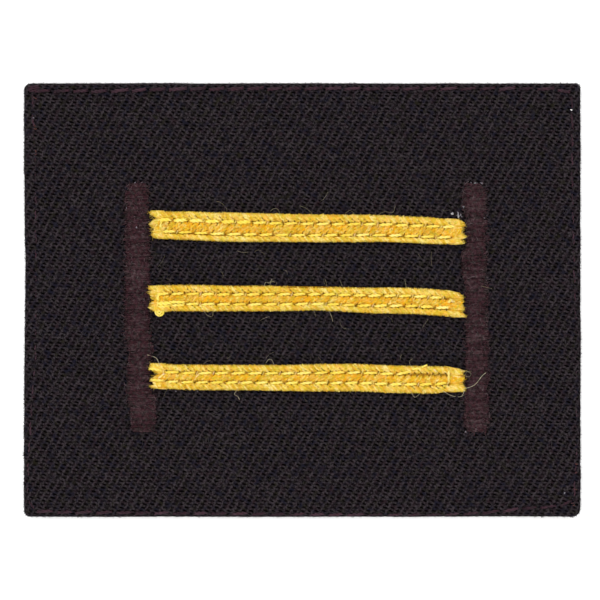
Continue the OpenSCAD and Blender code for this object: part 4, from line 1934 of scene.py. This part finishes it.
def middle_stitching() -> BraidStitching:
    """Set out the middle braid, the stitches on it and its slack loops.

    Returns:
        The braid with its stitches.
    """
    braid = PlaitedBraid(
        "braid_middle", "middle_braid", 47, channels=(-0.21, 0.17),
        swell=(
            (-18.7, -0.15, 0), (-16.5, -0.06, 0.02), (-13, -0.07, 0.15), (-9, -0.15, 0.13), (-4, -0.1, 0.1),
            (-1, -0.17, 0.04), (1, -0.21, -0.06), (4, -0.17, 0.04), (9, -0.1, 0.12), (14, -0.07, 0.1),
            (17, 0.04, 0.1), (19, -0.05, 0), (20, -0.2, -0.1),
        ),
        left_tips=(
            (0.47, -19.9), (0.3, -19.85), (0.21, -20.0), (0.12, -19.7), (0.03, -19.55), (-0.1, -19.65),
            (-0.23, -19.7), (-0.32, -19.95), (-0.41, -19.7), (-0.5, -19.4),
        ),
        right_tips=(
            (0.48, 20.4), (0.38, 20.9), (0.21, 20.9), (-0.02, 20.9), (-0.17, 21.1), (-0.28, 20.85),
            (-0.4, 21.05), (-0.5, 21.5),
        ),
    )
    upper = ((-19, 0.18, 0.42), (-10, 0.15, 0.42), (2, 0.19, 0.42), (17, 0.19, 0.4))
    lower = ((-15, -0.22, 0.4), (-3, -0.235, 0.42), (8, -0.21, 0.42), (19, -0.17, 0.46))
    return BraidStitching(
        braid, (StitchRow(-19.04, 18.3, 1.936, upper), StitchRow(-15.15, 19.2, 1.98, lower)),
        strays=(
            (-18.65, 0.95, -18.6, -0.35, 0.42, 0.74, 0), (-18.8, -0.5, -16.8, -0.35, 0.6, 0.86, 0),
            (-18.75, -0.85, -17.1, -0.8, 0.42, 0.8, 0), (-17.2, -0.25, -15.15, -0.3, 0.46, 0.88, 0),
            (-16.9, -0.7, -15.2, -0.65, 0.4, 0.8, 0),
            (19.15, 0.05, 19.7, -0.3, 0.42, 0.88, 0.5), (18.9, -0.35, 19.3, 0.1, 0.4, 0.85, 0.2),
        ),
        loops=(
            ((-18.95, -1.35, 0.6), (-18.9, -1.75, 0.4), (-18.6, -2.0, 0.28), (-18.3, -2.0, 0.28),
             (-18.0, -1.8, 0.4), (-17.95, -1.4, 0.6)),
            ((-18.75, -1.4, 0.6), (-18.6, -1.72, 0.42), (-18.3, -1.72, 0.42), (-18.15, -1.4, 0.6)),
            ((-18.55, -1.3, 0.6), (-18.45, -1.5, 0.5), (-18.35, -1.3, 0.6)),
        ),
    )


def bottom_stitching() -> BraidStitching:
    """Set out the bottom braid and the stitches on it.

    Returns:
        The braid with its stitches.
    """
    braid = PlaitedBraid(
        "braid_bottom", "bottom_braid", 59, channels=(-0.18, 0.18),
        swell=(
            (-18.7, 0, -0.14), (-16, -0.12, -0.02), (-12, -0.1, 0.05), (-7, -0.06, 0.03), (-2, -0.08, 0.1),
            (1, 0, 0.15), (4, 0.05, 0.15), (7, 0.13, 0.05), (9, 0.08, 0.1), (12, -0.02, 0.15), (17, 0, 0.13),
            (18.5, 0, -0.13), (20, -0.3, -0.2),
        ),
        left_tips=(
            (0.48, -19.7), (0.31, -19.85), (0.2, -19.6), (0.09, -19.05), (-0.05, -19.5), (-0.2, -19.85),
            (-0.29, -19.1), (-0.4, -19.8), (-0.48, -19.5),
        ),
        right_tips=(
            (0.49, 20.5), (0.4, 21.2), (0.28, 20.75), (0.1, 20.95), (0, 21.05), (-0.13, 20.7), (-0.26, 21.1),
            (-0.39, 21.3), (-0.48, 20.95),
        ),
    )
    upper = (
        (-20, 0.34, 0.36), (-19.2, 0.2, 0.38), (-17, 0.17, 0.4), (-8, 0.18, 0.4), (12, 0.19, 0.4),
        (14.2, 0.28, 0.4),
    )
    lower = (
        (-19.7, -0.12, 0.38), (-18, -0.2, 0.38), (-2, -0.19, 0.4), (6, -0.19, 0.42), (14, -0.18, 0.46),
        (19, -0.14, 0.42),
    )
    return BraidStitching(
        braid, (StitchRow(-20.0, 14.2, 2.14, upper), StitchRow(-19.7, 18.9, 1.93, lower)),
        strays=(
            (-18.6, -10.15, -17.8, -9.5, 0.3, 0.92, 1.0), (-13.75, -10.0, -13.3, -9.55, 0.18, 0.9, 1.0),
            (18.95, -9.0, 18.95, -10.65, 0.34, 0.92, 0.2), (17.0, -8.9, 17.5, -9.35, 0.24, 0.95, 1.0),
            (14.15, -8.95, 15.3, -8.8, 0.34, 0.9, 0), (15.35, -8.75, 16.2, -8.4, 0.3, 0.78, 0),
        ),
    )


def main() -> None:
    """Build the insignia piece by piece, in the order in which the real one is made."""
    logging.basicConfig(level=logging.INFO, format="%(message)s")
    low, high = box_of("ground_cloth")
    size = high - low
    studio = Studio()
    studio.camera(size.z)
    studio.light()
    studio.floor()

    seam = Seam()
    ground = GroundCloth(size.x, size.y, size.z, seam)
    ground.dress(TwillFinish().material())
    maroon, plum, dusty = (finish.material() for finish in (SEAM_THREAD, SATIN_THREAD, SATIN_NAP))
    face_row = Lockstitching(seam.holes, 0.44, 0.24, closed=True, proud=seam.proud, tilt=0.08)
    face_threads = face_row.threads(ground.face_height) + seam.extras(ground.face_height)
    hand_over(thread_mesh("edge_seam_face", face_threads), maroon)
    back_row = Lockstitching(seam.holes, 0.38, 0.22, underside=True, closed=True, proud=0.06)
    back_threads = back_row.threads(ground.back_height)
    hand_over(thread_mesh("edge_seam_back", back_threads, sides=4), maroon)

    braid_finishes = (BRAID_YARN, BRAID_CORE, BRAID_NAP, SEWING_THREAD)
    yarn, core, nap, lemon = (finish.material() for finish in braid_finishes)
    rows_behind: list[Thread] = []
    for stitching in (top_stitching(), middle_stitching(), bottom_stitching()):
        braid = stitching.braid
        hand_over(braid.plait(), yarn, [braid.node])
        hand_over(braid.core(), core)
        hand_over(braid.nap(), nap)
        hand_over(stitching.sew(), lemon)
        for row in stitching.rows:
            below = Lockstitching(stitching.holes(row), 0.28, 0.16, underside=True)
            rows_behind += below.threads(ground.back_height)
    hand_over(thread_mesh("braid_bobbin_rows", rows_behind, sides=4), lemon)

    bars_behind: list[Thread] = []
    for node, label, seed in zip(BARS, ("left_satin_bar", "right_satin_bar"), (71, 83)):
        bar = SatinBar(node, label, seed)
        hand_over(bar.sew(), plum, [node])
        hand_over(bar.nap(), dusty)
        below = Lockstitching(bar.zigzag(), 0.24, 0.02, underside=True)
        bars_behind += below.threads(ground.back_height)
    hand_over(thread_mesh("bar_bobbin_rows", bars_behind, sides=4), plum)

    loose = LooseFibres(ground)
    hand_over(loose.gold(), GOLD_FIBRE.material())
    hand_over(loose.fuzz(), BLACK_FIBRE.material())
    hand_over(loose.lint(), WHITE_LINT.material())

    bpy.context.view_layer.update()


if __name__ == "__main__":
    main()
